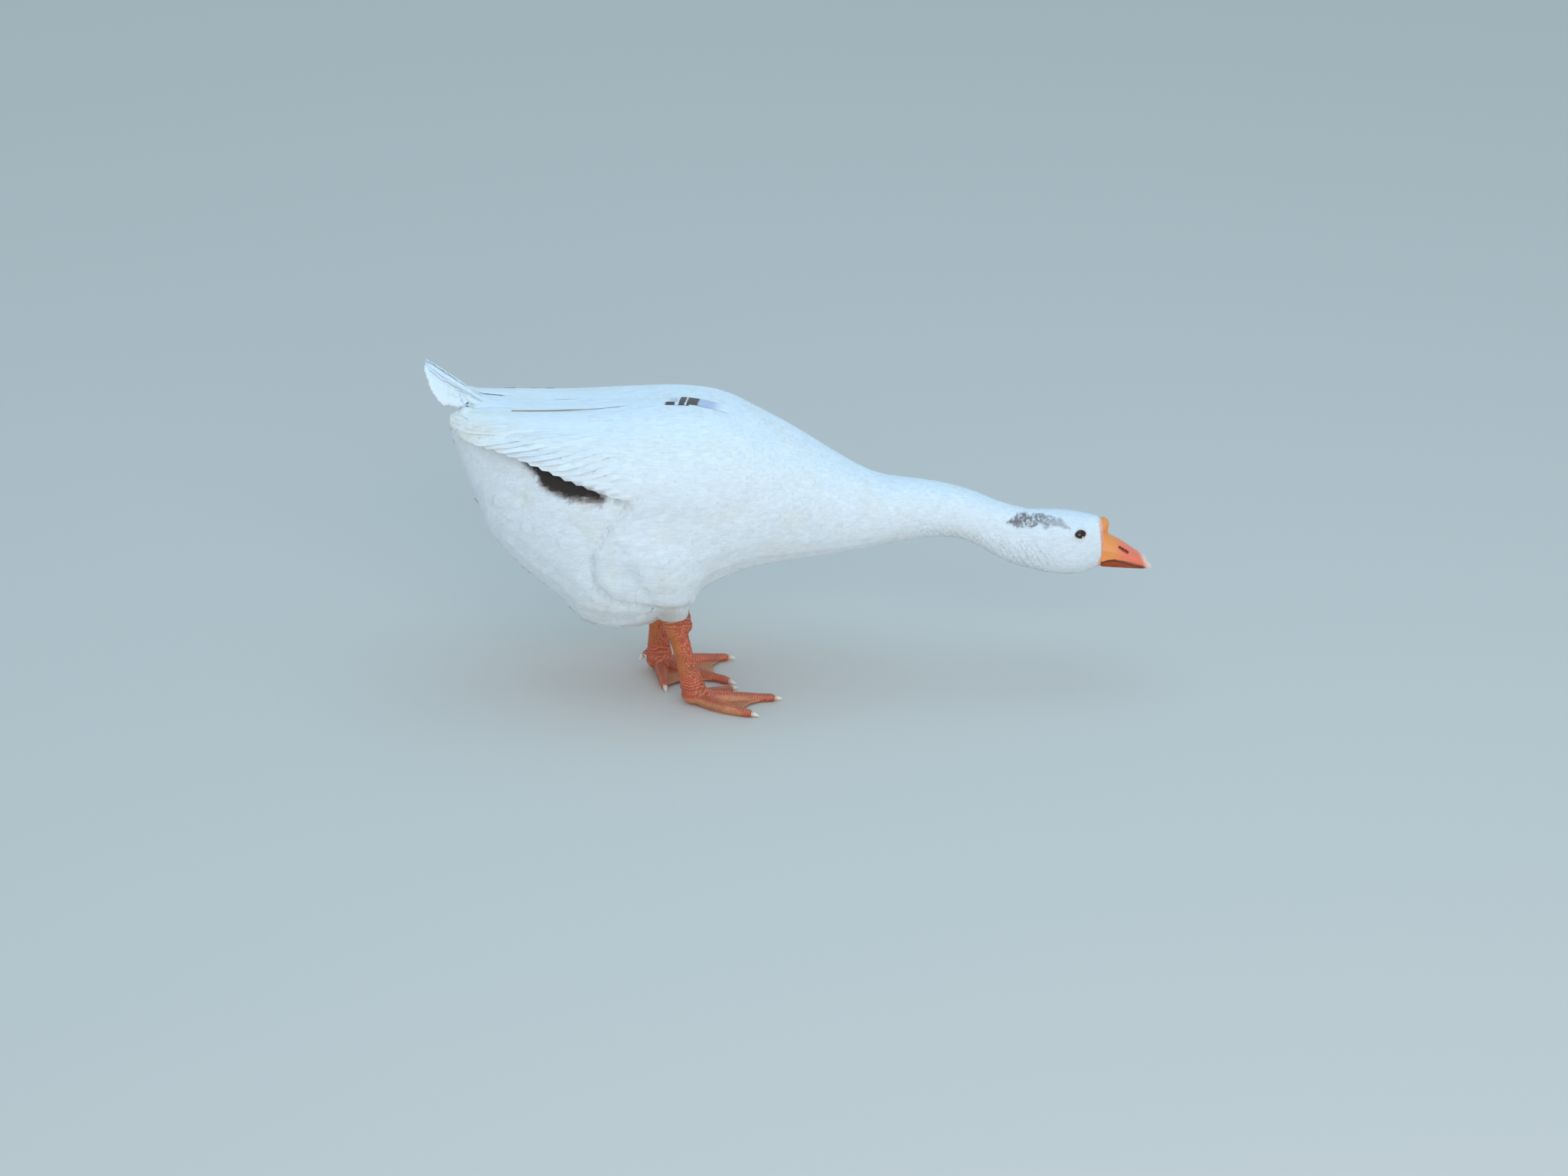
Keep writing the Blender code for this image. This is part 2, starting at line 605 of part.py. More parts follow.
def make_goose():
    trunk = body_length("trunk", front=NECK_BASE_X)
    body_length("neck_lower", NECK_BASE_X, NECK_MIDDLE_X)
    body_length("neck_upper", NECK_MIDDLE_X, NAPE_X)
    head = body_length("head", rear=NAPE_X)
    object_of("tail", tail_shape(), "wing_plumage")
    boolean(trunk, object_of("tail_pocket", tail_shape(GAP)))
    for side in ("right", "left"):
        boolean(trunk, make_wing(side))
        object_of(f"thigh_{side}", thigh_shape(side), "plumage")
        boolean(trunk, object_of(f"thigh_pocket_{side}", thigh_shape(side, GAP)))
        boolean(trunk, object_of(f"shank_pocket_{side}", shank_shape(side, GAP)))
        make_foot(side)
        make_shank(side)
        make_claws(side)
    make_eyes(head)
    make_bill()


def move_to_frame():
    for made in [*goose.objects, *cutters.objects]:
        made.data.transform(Matrix.Translation((-MIDDLE_OF_LENGTH_X, 0, 0)))


clear_scene()
goose = new_collection("domestic_goose")
cutters = new_collection("cutters")
make_goose()
move_to_frame()
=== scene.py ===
"""A still, life-size domestic goose, its neck stretched low: one skin, feathers laid over it in rows, scaled
orange legs, a waxy orange bill with a small knob, dark eyes in their lids and pale claws."""

import math

import bmesh
import bpy
import numpy as np
from mathutils import Matrix, Vector, kdtree, noise
from mathutils.bvhtree import BVHTree


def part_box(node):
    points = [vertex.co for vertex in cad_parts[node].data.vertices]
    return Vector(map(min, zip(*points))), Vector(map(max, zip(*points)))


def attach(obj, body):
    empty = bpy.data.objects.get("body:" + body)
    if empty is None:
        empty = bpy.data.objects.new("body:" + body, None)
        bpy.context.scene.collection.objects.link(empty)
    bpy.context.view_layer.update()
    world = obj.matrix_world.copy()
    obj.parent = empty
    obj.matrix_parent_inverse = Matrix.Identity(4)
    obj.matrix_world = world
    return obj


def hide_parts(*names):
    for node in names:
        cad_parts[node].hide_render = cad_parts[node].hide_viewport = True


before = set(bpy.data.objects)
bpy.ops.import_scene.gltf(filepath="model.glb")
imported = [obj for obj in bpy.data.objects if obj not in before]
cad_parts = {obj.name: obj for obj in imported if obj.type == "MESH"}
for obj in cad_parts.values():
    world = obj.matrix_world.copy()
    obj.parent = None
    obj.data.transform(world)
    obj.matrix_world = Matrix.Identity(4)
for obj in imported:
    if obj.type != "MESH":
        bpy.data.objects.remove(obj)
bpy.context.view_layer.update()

# ---- The studio -----------------------------------------------------------------------------------------
# A wide plain pale floor, a broad soft lamp overhead like an overcast sky with a lower one in front, and a
# camera as high as a standing person looking down on the bird.
FLOOR_SIZE = 9.0
FLOOR_ROUGHNESS = 0.9
FLOOR_TONE = (0.66, 0.60, 0.55, 1.0)
ZENITH_TONE = (0.50, 0.79, 1.0, 1.0)
HORIZON_TONE = (0.92, 0.95, 0.98, 1.0)
AIR_STRENGTH = 0.82
LAMP_AIM = Vector((0.0, 0.0, 0.2))
LAMPS = {
    # name: place, size, power, tone
    "overhead_lamp": (Vector((0.2, -0.4, 2.9)), 2.6, 21.0, (0.42, 0.75, 1.0)),
    "side_lamp": (Vector((0.8, -3.2, 1.3)), 2.0, 37.0, (1.0, 0.955, 0.91)),
}
CAMERA_AIM = Vector((-0.0086, 0.0, 0.115))
CAMERA_TILT = math.radians(23.0)
CAMERA_DISTANCE = 3.594
CAMERA_LENS, SENSOR_WIDTH = 77.0, 36.0

scene = bpy.context.scene
scene.view_settings.view_transform = "Standard"


def linked(name, data):
    """A new object in the scene."""
    made = bpy.data.objects.new(name, data)
    scene.collection.objects.link(made)
    return made


def fed(tree, node, values):
    """A node, once its input sockets are linked or set."""
    for key, value in values.items():
        if isinstance(value, bpy.types.NodeSocket):
            tree.links.new(value, node.inputs[key])
        else:
            node.inputs[key].default_value = value
    return node


def node_of(tree, kind, values=None, **settings):
    """A new shader node, with its settings made and its input sockets fed."""
    made = tree.nodes.new(kind)
    for key, value in settings.items():
        setattr(made, key, value)
    return fed(tree, made, values or {})


def new_material(name):
    """A material with an empty tree: returns it, its tree, its Principled node."""
    made = bpy.data.materials.new(name)
    made.use_nodes = True
    tree = made.node_tree
    tree.nodes.clear()
    shader = tree.nodes.new("ShaderNodeBsdfPrincipled")
    output = tree.nodes.new("ShaderNodeOutputMaterial")
    tree.links.new(shader.outputs["BSDF"], output.inputs["Surface"])
    return made, tree, shader


def mixed(tree, share, one, other, way="MIX"):
    """A colour between two, by a share from 0 to 1."""
    made = node_of(tree, "ShaderNodeMix", {0: share, 6: one, 7: other}, data_type="RGBA", blend_type=way)
    return made.outputs[2]


half = FLOOR_SIZE / 2
floor_corners = [(-half, -half, 0), (half, -half, 0), (half, half, 0), (-half, half, 0)]
floor_mesh = bpy.data.meshes.new("studio_floor")
floor_mesh.from_pydata(floor_corners, [], [(0, 1, 2, 3)])
floor = linked("studio_floor", floor_mesh)
floor_paint, floor_tree, floor_shader = new_material("studio_floor_paint")
floor_grain = node_of(floor_tree, "ShaderNodeTexNoise", {"Scale": 3.0, "Detail": 2.0})
floor_worn = tuple(0.97 * c for c in FLOOR_TONE[:3]) + (1.0,)
fed(floor_tree, floor_shader, {
    "Base Color": mixed(floor_tree, floor_grain.outputs["Fac"], FLOOR_TONE, floor_worn),
    "Roughness": FLOOR_ROUGHNESS,
})
floor_mesh.materials.append(floor_paint)

world = bpy.data.worlds.new("studio_air")
world.use_nodes = True
air = world.node_tree
air_way = node_of(air, "ShaderNodeTexCoord").outputs["Generated"]
air_height = node_of(air, "ShaderNodeSeparateXYZ", {0: air_way}).outputs[2]
air_rise = node_of(air, "ShaderNodeMapRange", {0: air_height, 1: 0.1, 2: 0.8, 3: 0.0, 4: 1.0}).outputs[0]
fed(air, air.nodes["Background"], {
    "Color": mixed(air, air_rise, HORIZON_TONE, ZENITH_TONE), "Strength": AIR_STRENGTH
})
scene.world = world

for lamp_name, (lamp_place, lamp_size, power, lamp_tone) in LAMPS.items():
    soft_box = bpy.data.lights.new(lamp_name, "AREA")
    soft_box.shape = "SQUARE"
    soft_box.size = lamp_size
    soft_box.energy = power
    soft_box.color = lamp_tone
    lamp = linked(lamp_name, soft_box)
    lamp.location = lamp_place
    lamp.rotation_euler = (LAMP_AIM - lamp_place).to_track_quat("-Z", "Y").to_euler()

camera = linked("camera", bpy.data.cameras.new("camera"))
camera.data.lens = CAMERA_LENS
camera.data.sensor_width = SENSOR_WIDTH
back_way = Vector((0, -math.cos(CAMERA_TILT), math.sin(CAMERA_TILT)))
camera.location = CAMERA_AIM + back_way * CAMERA_DISTANCE
camera.rotation_euler = (-back_way).to_track_quat("-Z", "Y").to_euler()
scene.camera = camera

# ---- Measuring the bird ---------------------------------------------------------------------------------
# Small tools that copy the solid parts' meshes, smooth them, and lay points on them.
FLESH = (
    "trunk", "neck_lower", "neck_upper", "head", "thigh_right", "thigh_left", "wing_right", "wing_left",
    "wing_tip_right", "wing_tip_left", "tail",
)
LEGS = ("shank_right", "shank_left", "foot_right", "foot_left")
EYES = ("eye_right", "eye_left")
SIDES = {"right": -1, "left": 1}
SWELL = 0.0004


def copied(names, swell=0.0):
    """One welded mesh of several CAD nodes, each swollen a little so that they run together."""
    whole = bmesh.new()
    for name in names:
        part = bmesh.new()
        part.from_mesh(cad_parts[name].data)
        bmesh.ops.remove_doubles(part, verts=part.verts, dist=1e-6)
        bmesh.ops.recalc_face_normals(part, faces=part.faces)
        part.normal_update()
        for vertex in part.verts:
            vertex.co += vertex.normal * swell
        loose = bpy.data.meshes.new("loose")
        part.to_mesh(loose)
        part.free()
        whole.from_mesh(loose)
        bpy.data.meshes.remove(loose)
    made = bpy.data.meshes.new("copied")
    whole.to_mesh(made)
    whole.free()
    return made


def modified(mesh, kind, **settings):
    """The mesh after one modifier."""
    holder = linked("holder", mesh)
    change = holder.modifiers.new("change", kind)
    for key, value in settings.items():
        setattr(change, key, value)
    seen = holder.evaluated_get(bpy.context.evaluated_depsgraph_get())
    made = bpy.data.meshes.new_from_object(seen)
    bpy.data.objects.remove(holder)
    return made


def remeshed(names, swell, grain):
    """Several CAD nodes run together into one closed mesh, as fine as grain."""
    return modified(copied(names, swell), "REMESH", mode="VOXEL", voxel_size=grain)


def points_of(mesh):
    """The mesh's points as an array."""
    flat = np.zeros(len(mesh.vertices) * 3)
    mesh.vertices.foreach_get("co", flat)
    return flat.reshape(-1, 3)


def set_points(mesh, points):
    """Moves the mesh's points."""
    mesh.vertices.foreach_set("co", points.astype(np.float32).ravel())
    mesh.update()


def corners_of(mesh):
    """The mesh's triangles as an array of point numbers."""
    mesh.calc_loop_triangles()
    flat = np.zeros(len(mesh.loop_triangles) * 3, int)
    mesh.loop_triangles.foreach_get("vertices", flat)
    return flat.reshape(-1, 3)


def unit(rows):
    """Rows of vectors, each made one long."""
    return rows / np.maximum(np.linalg.norm(rows, axis=-1, keepdims=True), 1e-12)


def normals_of(points, corners):
    """A smooth normal at each point."""
    a, b, c = (points[corners[:, i]] for i in range(3))
    across = np.cross(b - a, c - a)
    total = np.zeros_like(points)
    for axis in range(3):
        for i in range(3):
            total[:, axis] += np.bincount(corners[:, i], across[:, axis], len(points))
    return unit(total)


def evened(mesh, values, rounds, pull=0.5, push=-0.52):
    """Values at the mesh's points, smoothed along its edges; pull and push in turn keep its size."""
    flat = np.zeros(len(mesh.edges) * 2, int)
    mesh.edges.foreach_get("vertices", flat)
    one, two = flat.reshape(-1, 2).T
    count = np.bincount(one, minlength=len(values)) + np.bincount(two, minlength=len(values))
    count = np.maximum(count, 1)[:, None]
    values = values.copy()
    for turn in range(rounds):
        total = np.zeros_like(values)
        for axis in range(values.shape[1]):
            total[:, axis] = np.bincount(one, values[two, axis], len(values))
            total[:, axis] += np.bincount(two, values[one, axis], len(values))
        values += (pull if turn % 2 == 0 else push) * (total / count - values)
    return values


def hump(value, middle, width):
    """1 at the middle, falling softly to 0 on both sides of it."""
    return np.exp(-(((value - middle) / width) ** 2))


def ramp(value, low, high):
    """0 below low, 1 above high, and a soft step between."""
    share = np.clip((value - low) / (high - low), 0, 1)
    return share * share * (3 - 2 * share)


def band(value, low, full, fade, high):
    """1 between full and fade, 0 below low and above high, with soft steps."""
    return ramp(value, low, full) * (1 - ramp(value, fade, high))


class Surface:
    """A triangle surface that points can be laid on, with values carried at its corners."""

    def __init__(self, points, corners):
        self.points, self.corners = points, corners
        self.normals = normals_of(points, corners)
        self.tree = BVHTree.FromPolygons(points.tolist(), corners.tolist())

    def nearest(self, places):
        """The nearest surface points and their triangles."""
        found = [self.tree.find_nearest(p) for p in places.tolist()]
        return np.array([f[0] for f in found]), np.array([f[2] for f in found])

    def struck(self, starts, ways, reach=1.0):
        """Where rays strike: points, triangles, distances. A miss takes the place nearest its middle."""
        found = []
        for start, way in zip(starts, ways):
            spot, _, triangle, gap = self.tree.ray_cast(start, way, reach)
            if spot is None:
                spot, _, triangle, _ = self.tree.find_nearest(start + 0.5 * reach * way)
                gap = reach
            found.append((spot, triangle, gap))
        return tuple(np.array(rows) for rows in zip(*found))

    def read(self, values, spots, triangles):
        """Values at spots, blended from their triangles' corners."""
        at = self.corners[triangles]
        a, b, c = (self.points[at[:, i]] for i in range(3))
        whole = np.linalg.norm(np.cross(b - a, c - a), axis=1) + 1e-15
        share = [
            np.linalg.norm(np.cross(q - spots, r - spots), axis=1) / whole
            for q, r in ((b, c), (c, a), (a, b))
        ]
        total = share[0] + share[1] + share[2]
        return sum(values[at[:, i]] * (share[i] / total)[:, None] for i in range(3))


def tree_of(points):
    """A tree for finding the nearest of some points."""
    tree = kdtree.KDTree(len(points))
    for i, place in enumerate(points.tolist()):
        tree.insert(place, i)
    tree.balance()
    return tree


def surface_of(mesh, rounds):
    """A mesh's evened surface."""
    return Surface(evened(mesh, points_of(mesh), rounds), corners_of(mesh))


# ---- Where the folded wings lie -------------------------------------------------------------------------
# A folded wing is a curved plate on the bird's side. Places on it are told by how far along the bird they
# are, and by how far round from its upper edge on the back to its lower edge on the flank.
WINGS = {side: ("wing_" + side, "wing_tip_" + side) for side in SIDES}
WING_HUB_Z, FAR_OUT = 0.21, 0.30
WING_GRAIN, WING_ROUNDS = 0.0020, 10
WING_CUTS, WING_MARGIN = 90, 0.002
wing_surfaces = {
    side: surface_of(remeshed(names, SWELL, WING_GRAIN), WING_ROUNDS) for side, names in WINGS.items()
}
wing_points = wing_surfaces["left"].points
wing_turn = np.arctan2(wing_points[:, 1], wing_points[:, 2] - WING_HUB_Z)
wing_x = np.linspace(wing_points[:, 0].min() + WING_MARGIN, wing_points[:, 0].max() - WING_MARGIN, WING_CUTS)
slices = [np.abs(wing_points[:, 0] - x) < WING_GRAIN for x in wing_x]
wing_up_turn = np.array([wing_turn[at].min() for at in slices])
wing_low_turn = np.array([wing_turn[at].max() for at in slices])
wing_low_z = np.array([wing_points[at, 2].min() for at in slices])
wing_tops = np.array([wing_points[at][wing_turn[at].argmin()] for at in slices])


def round_share(points):
    """How far round a folded wing points are: 0 at its upper edge, 1 at its lower edge."""
    turn = np.arctan2(np.abs(points[..., 1]), points[..., 2] - WING_HUB_Z)
    up, low = (np.interp(points[..., 0], wing_x, turns) for turns in (wing_up_turn, wing_low_turn))
    return (turn - up) / np.maximum(low - up, 1e-3)


def laid_on(surface, sign, x, share):
    """Places and facings on a wing's surface at x along the bird and share round the wing."""
    flat_x = x.ravel()
    up, low = (np.interp(flat_x, wing_x, turns) for turns in (wing_up_turn, wing_low_turn))
    turn = up + share.ravel() * (low - up)
    outward = np.stack((np.zeros_like(turn), sign * np.sin(turn), np.cos(turn)), 1)
    starts = np.stack((flat_x, np.zeros_like(turn), np.full_like(turn, WING_HUB_Z)), 1) + FAR_OUT * outward
    spots, triangles, _ = surface.struck(starts, -outward, FAR_OUT)
    ups = unit(surface.read(surface.normals, spots, triangles))
    return spots.reshape(x.shape + (3,)), ups.reshape(x.shape + (3,))


# ---- The form -------------------------------------------------------------------------------------------
# The outside of the whole feathered bird, made from the fleshy parts run together. It isn't shown: the skin
# is sunk below it by the depth of the coat, and every feather rises from the skin and lies under it.
FORM_GRAIN = 0.0023
FORM_ROUNDS, SOFT_ROUNDS = 14, 130
# On each side the flank's loose feathers end in a fold that hangs from the wing round behind the thigh.
FOLD = np.array((
    (-0.150, 0.262), (-0.160, 0.255), (-0.188, 0.224), (-0.208, 0.190), (-0.206, 0.158), (-0.188, 0.135),
    (-0.150, 0.1265), (-0.112, 0.122),
))
FOLD_DEEP, FOLD_FULL = 0.0024, 0.0018


def fold_at(points):
    """How far points are from the fold behind the thigh, which are in front of it, and where it runs."""
    x, z = points[:, 0], points[:, 2]
    best = np.full(len(points), 1.0)
    front = np.zeros(len(points))
    for start, end in zip(FOLD[:-1], FOLD[1:]):
        line = end - start
        off_x, off_z = x - start[0], z - start[1]
        share = np.clip((off_x * line[0] + off_z * line[1]) / (line @ line), 0, 1)
        gap = np.hypot(off_x - share * line[0], off_z - share * line[1])
        closer = gap < best
        best = np.where(closer, gap, best)
        front = np.where(closer, line[0] * off_z - line[1] * off_x > 0, front)
    ends = band(z, 0.108, 0.124, 0.246, 0.262) * ramp(np.abs(points[:, 1]), 0.040, 0.055)
    return best, front, ends


def fold_lift(points):
    """How far the surface stands out or in at the fold behind the thigh."""
    gap, front, ends = fold_at(points)
    groove = hump(gap, 0.0, np.where(front > 0, 0.0032, 0.0080))
    swelling = front * hump(gap, 0.010, 0.009)
    return ends * (FOLD_FULL * swelling - FOLD_DEEP * groove)


form_mesh = remeshed(FLESH + EYES, SWELL, FORM_GRAIN)
form_points = evened(form_mesh, points_of(form_mesh), FORM_ROUNDS)

# The back is filled level between the wings, and the flank's feathers run smoothly over the wings' fronts.
x, y, z = form_points.T
top_y, top_z = (np.interp(x, wing_x, wing_tops[:, i]) for i in (1, 2))
across_back = np.clip(np.abs(y) / np.maximum(top_y, 1e-3), 0, 1)
rear = ramp(-x, 0.262, 0.290)
past_top = np.maximum(np.abs(y) - top_y - 0.004, 0)
filled = top_z + 0.0006 - 0.0016 * across_back**2 * (1 - rear) - 0.35 * past_top
on_back = (x > -0.345) & (x < -0.075) & (np.abs(y) < top_y + 0.001 + 0.009 * rear) & (z > 0.285)
form_points[:, 2] = np.where(on_back, np.maximum(z, filled), z)
soft = evened(form_mesh, form_points, SOFT_ROUNDS, 0.5, 0.5)
x, y, z = form_points.T
ease_front = band(x, -0.182, -0.158, 0.06, 0.10) * ramp(z, 0.18, 0.21)
ease_back = ramp(x, -0.335, -0.325) * (1 - ramp(np.abs(y), 0.036, 0.048)) * ramp(z, 0.290, 0.302)
form_points = form_points + np.maximum(ease_front, ease_back)[:, None] * (soft - form_points)
form_facing = normals_of(form_points, corners_of(form_mesh))
form_points = form_points + form_facing * fold_lift(form_points)[:, None]
form = Surface(form_points, corners_of(form_mesh))

# How deep the coat is along the body, from the tail to the bill, and thinner wherever the form is thin.
DEPTH_AT_X = (-0.380, -0.310, -0.240, -0.020, 0.060, 0.120, 0.220, 0.262, 0.300, 0.329)
DEPTH = (0.0010, 0.0030, 0.0048, 0.0045, 0.0038, 0.0030, 0.0026, 0.0018, 0.0010, 0.0006)
THIN_SHARE, THIN_KEPT = 0.30, 0.0045
LEG_DEPTH, LEG_DEPTH_GAIN = 0.0018, 0.0050
JUST_INSIDE, DEPTH_ROUNDS = 0.0006, 6
form_depth = np.interp(form.points[:, 0], DEPTH_AT_X, DEPTH)
form_depth = np.minimum(form_depth, LEG_DEPTH + LEG_DEPTH_GAIN * ramp(form.points[:, 2], 0.100, 0.135))
form_thick = form.struck(form.points - form.normals * JUST_INSIDE, -form.normals, 0.2)[2]
form_depth = np.minimum(form_depth, THIN_SHARE * np.clip(form_thick - THIN_KEPT, 0, None))
form_depth = evened(form_mesh, form_depth[:, None], DEPTH_ROUNDS, 0.6, 0.6)[:, 0]

# ---- The skin -------------------------------------------------------------------------------------------
# One closed skin from the bill to the claws. Over the body it is thin and pale and lies under the coat.
# Below the hocks it thickens into the scaled orange hide of the legs, toes and webs.
SKIN_SHARE = 0.29
LEG_GRAIN = 0.00095
LEG_ROUNDS = 4
TOES = ("inner", "middle", "outer")
FINE_FROM_X = 0.262
EYE_FINE = 0.020


def mesh_from(name, points, faces):
    """A mesh from arrays of points and equal-sided faces."""
    made = bpy.data.meshes.new(name)
    made.vertices.add(len(points))
    made.vertices.foreach_set("co", points.astype(np.float32).ravel())
    sides = faces.shape[1]
    made.loops.add(faces.size)
    made.loops.foreach_set("vertex_index", faces.astype(np.int32).ravel())
    made.polygons.add(len(faces))
    made.polygons.foreach_set("loop_start", np.arange(0, faces.size, sides, dtype=np.int32))
    made.polygons.foreach_set("loop_total", np.full(len(faces), sides, dtype=np.int32))
    made.update(calc_edges=True)
    return made


sunk = form.points - form.normals * form_depth[:, None]
skin_mesh = modified(mesh_from("sunk", sunk, form.corners), "DECIMATE", ratio=SKIN_SHARE)

# The head's skin is cut finer, and finest round the eyes, so that it can take folds and lids.
EYE_TILT = math.radians(14.0)
EYE_LONG, EYE_HIGH = 0.0060, 0.0044
BALL_LONG, BALL_HIGH, BALL_DEEP = 0.0067, 0.0052, 0.0042
LID_RISE, LID_TUCK = 0.00045, 0.0025
LID_FOLD, LID_FOLD_RING = 0.00035, 1.80
SOCKET_REACH = 1.75
CHEEK_NEAR, CHEEK_FAR = 0.009, 0.016
eye_centres, eye_axes, eye_outs = {}, {}, {}
for side, sign in SIDES.items():
    low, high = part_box("eye_" + side)
    eye_centres[side] = np.array((low + high) / 2)
    away = np.linalg.norm(form.points - eye_centres[side], axis=1)
    round_eye = (away > CHEEK_NEAR) & (away < CHEEK_FAR) & (form.points[:, 1] * sign > 0)
    outward = unit(form.normals[round_eye].mean(0))
    forward = np.array((math.cos(EYE_TILT), 0.0, math.sin(EYE_TILT)))
    forward = unit(forward - (forward @ outward) * outward)
    eye_axes[side] = np.stack((forward, -sign * np.cross(outward, forward), outward))
    apart = points_of(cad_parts["eye_" + side].data) - eye_centres[side]
    eye_outs[side] = (apart @ outward).max()


def crumbs_of(mesh):
    """The points of every loose crumb, which is all but the largest run of joined faces."""
    left, runs = set(mesh.verts), []
    while left:
        run, edge = set(), [left.pop()]
        while edge:
            point = edge.pop()
            run.add(point)
            for link in point.link_edges:
                other = link.other_vert(point)
                if other in left:
                    left.remove(other)
                    edge.append(other)
        runs.append(run)
    runs.sort(key=len)
    return [point for run in runs[:-1] for point in run]


fine = bmesh.new()
fine.from_mesh(skin_mesh)
bmesh.ops.delete(fine, geom=crumbs_of(fine), context="VERTS")
for reach in (None, 1.0, 0.7):
    chosen = set()
    for face in fine.faces:
        middle = face.calc_center_median()
        if reach is None:
            near = middle.x > FINE_FROM_X
        else:
            near = any(np.linalg.norm(np.array(middle) - c) < EYE_FINE * reach for c in eye_centres.values())
        if near:
            chosen.update(face.edges)
    bmesh.ops.subdivide_edges(fine, edges=list(chosen), cuts=1, use_grid_fill=True, smooth=0.0)
bmesh.ops.triangulate(fine, faces=fine.faces)
fine.to_mesh(skin_mesh)
fine.free()


def eye_place(points, side):
    """Along, up and out from the middle of the eye on that side, and rings in shares of its opening."""
    along, up, out = ((points - eye_centres[side]) @ axis for axis in eye_axes[side])
    almond = EYE_HIGH * (1 - 0.16 * np.clip(along / EYE_LONG, -1.5, 1.5) ** 2)
    return along, up, out, np.sqrt((along / EYE_LONG) ** 2 + (up / almond) ** 2)


head_points = points_of(skin_mesh)
on_head = head_points[:, 0] > FINE_FROM_X
head_points[on_head] = Surface(sunk, form.corners).nearest(head_points[on_head])[0]
for side in SIDES:
    along, up, out, ring = eye_place(head_points, side)
    outward = (out > 0) & (ring < 3.2) & (head_points[:, 0] > FINE_FROM_X)
    dome = np.clip(1 - (along / BALL_LONG) ** 2 - (up / BALL_HIGH) ** 2, 0.05, None)
    ball = BALL_DEEP * (np.sqrt(dome) - 1) + eye_outs[side]
    lid = ball + LID_RISE * (1 + 0.9 * hump(ring, 1.12, 0.12))
    inside = ball - LID_TUCK
    target = np.where(ring < 1.0, inside + (lid - inside) * ramp(ring, 0.86, 1.0), lid)
    blend = 1 - ramp(ring, 1.08, SOCKET_REACH)
    fold = -LID_FOLD * hump(ring, LID_FOLD_RING, 0.13)
    moved = (target - out) * blend + fold
    head_points += np.where(outward, moved, 0.0)[:, None] * eye_axes[side][2]

# In front the skin closes round the root of the bill, along a border that bows forward at the cheek.
BILL = ("bill_upper", "bill_lower", "bill_knob", "bill_nail")
BILL_GRAIN, BILL_ROUNDS = 0.00046, 8
KNOB_ROUNDS = 170
DIP_PLACE, DIP_WIDE, DIP_DEEP, DIP_ROUNDS = np.array((0.3402, 0.1812)), 0.0098, 0.0026, 24
HUG_FROM_X, HUG_TO_X, HUG_GAP = 0.3225, 0.3268, 0.0003
BORDER_Z = (0.1445, 0.1490, 0.1550, 0.1583, 0.1669, 0.1767, 0.1860, 0.1938, 0.1975)
BORDER_X = (0.3240, 0.3252, 0.3268, 0.3282, 0.3290, 0.3281, 0.3268, 0.3256, 0.3258)


def border_at(z):
    """How far forward the skin reaches at a height."""
    return np.interp(z, BORDER_Z, BORDER_X)


bill_mesh = remeshed(BILL, 0.0002, BILL_GRAIN)
bill_points = evened(bill_mesh, points_of(bill_mesh), BILL_ROUNDS)
rounded = evened(bill_mesh, bill_points, KNOB_ROUNDS, 0.5, 0.5)
at_knob = ramp(bill_points[:, 2], 0.166, 0.174) * (1 - ramp(bill_points[:, 0], 0.343, 0.352))
bill_points = bill_points + at_knob[:, None] * (rounded - bill_points)
dip = hump(np.linalg.norm(bill_points[:, ::2] - DIP_PLACE, axis=1), 0.0, DIP_WIDE)
bill_points -= DIP_DEEP * dip[:, None] * normals_of(bill_points, corners_of(bill_mesh))
bill_points = evened(bill_mesh, bill_points, DIP_ROUNDS)
bill_form = Surface(bill_points, corners_of(bill_mesh))
at_bill = head_points[:, 0] > HUG_FROM_X
hugging, touched = bill_form.nearest(head_points[at_bill])
hugging = hugging + HUG_GAP * unit(bill_form.read(bill_form.normals, hugging, touched))
hug_share = ramp(head_points[at_bill, 0], HUG_FROM_X, HUG_TO_X)[:, None]
head_points[at_bill] += hug_share * (hugging - head_points[at_bill])
set_points(skin_mesh, head_points)

# The legs: shank, toes and webs run together, then scales, scutes and wrinkles raised on them. Each shank
# goes up into the thigh as a leaning row of balls.
DRUMSTICK_BALLS, DRUMSTICK_RADIUS = 5, 0.0095
DRUMSTICK_LOW, DRUMSTICK_STEP = Vector((0.0, 0.0, -0.010)), Vector((-0.0015, 0.0, 0.009))
SCALE_SIZE, SCUTE_GAP, WRINKLE_GAP = 0.0027, 0.0027, 0.0033
TAPER, TAPER_REACH = 0.40, 0.0042


def hock_of(side):
    """The middle of a leg where its shank goes up into its thigh."""
    low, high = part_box("shank_" + side)
    return Vector(((low.x + high.x) / 2, (low.y + high.y) / 2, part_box("thigh_" + side)[0].z))


legs = copied(LEGS, 0.00025)
leg_shape = bmesh.new()
leg_shape.from_mesh(legs)
for side in SIDES:
    for i in range(DRUMSTICK_BALLS):
        place = hock_of(side) + DRUMSTICK_LOW + DRUMSTICK_STEP * i
        bmesh.ops.create_icosphere(
            leg_shape, subdivisions=3, radius=DRUMSTICK_RADIUS, matrix=Matrix.Translation(place)
        )
leg_shape.to_mesh(legs)
leg_shape.free()
legs = modified(legs, "REMESH", mode="VOXEL", voxel_size=LEG_GRAIN)
leg_points = evened(legs, points_of(legs), LEG_ROUNDS)


def cells(points, size, seed):
    """Distance to the nearest and to the second nearest of scattered cell centres, in cell sizes."""
    shift = Vector((seed * 7.13, seed * 3.71, seed * 5.39))
    near = [noise.voronoi(Vector(p) / size + shift)[0][:2] for p in points.tolist()]
    return np.array(near)


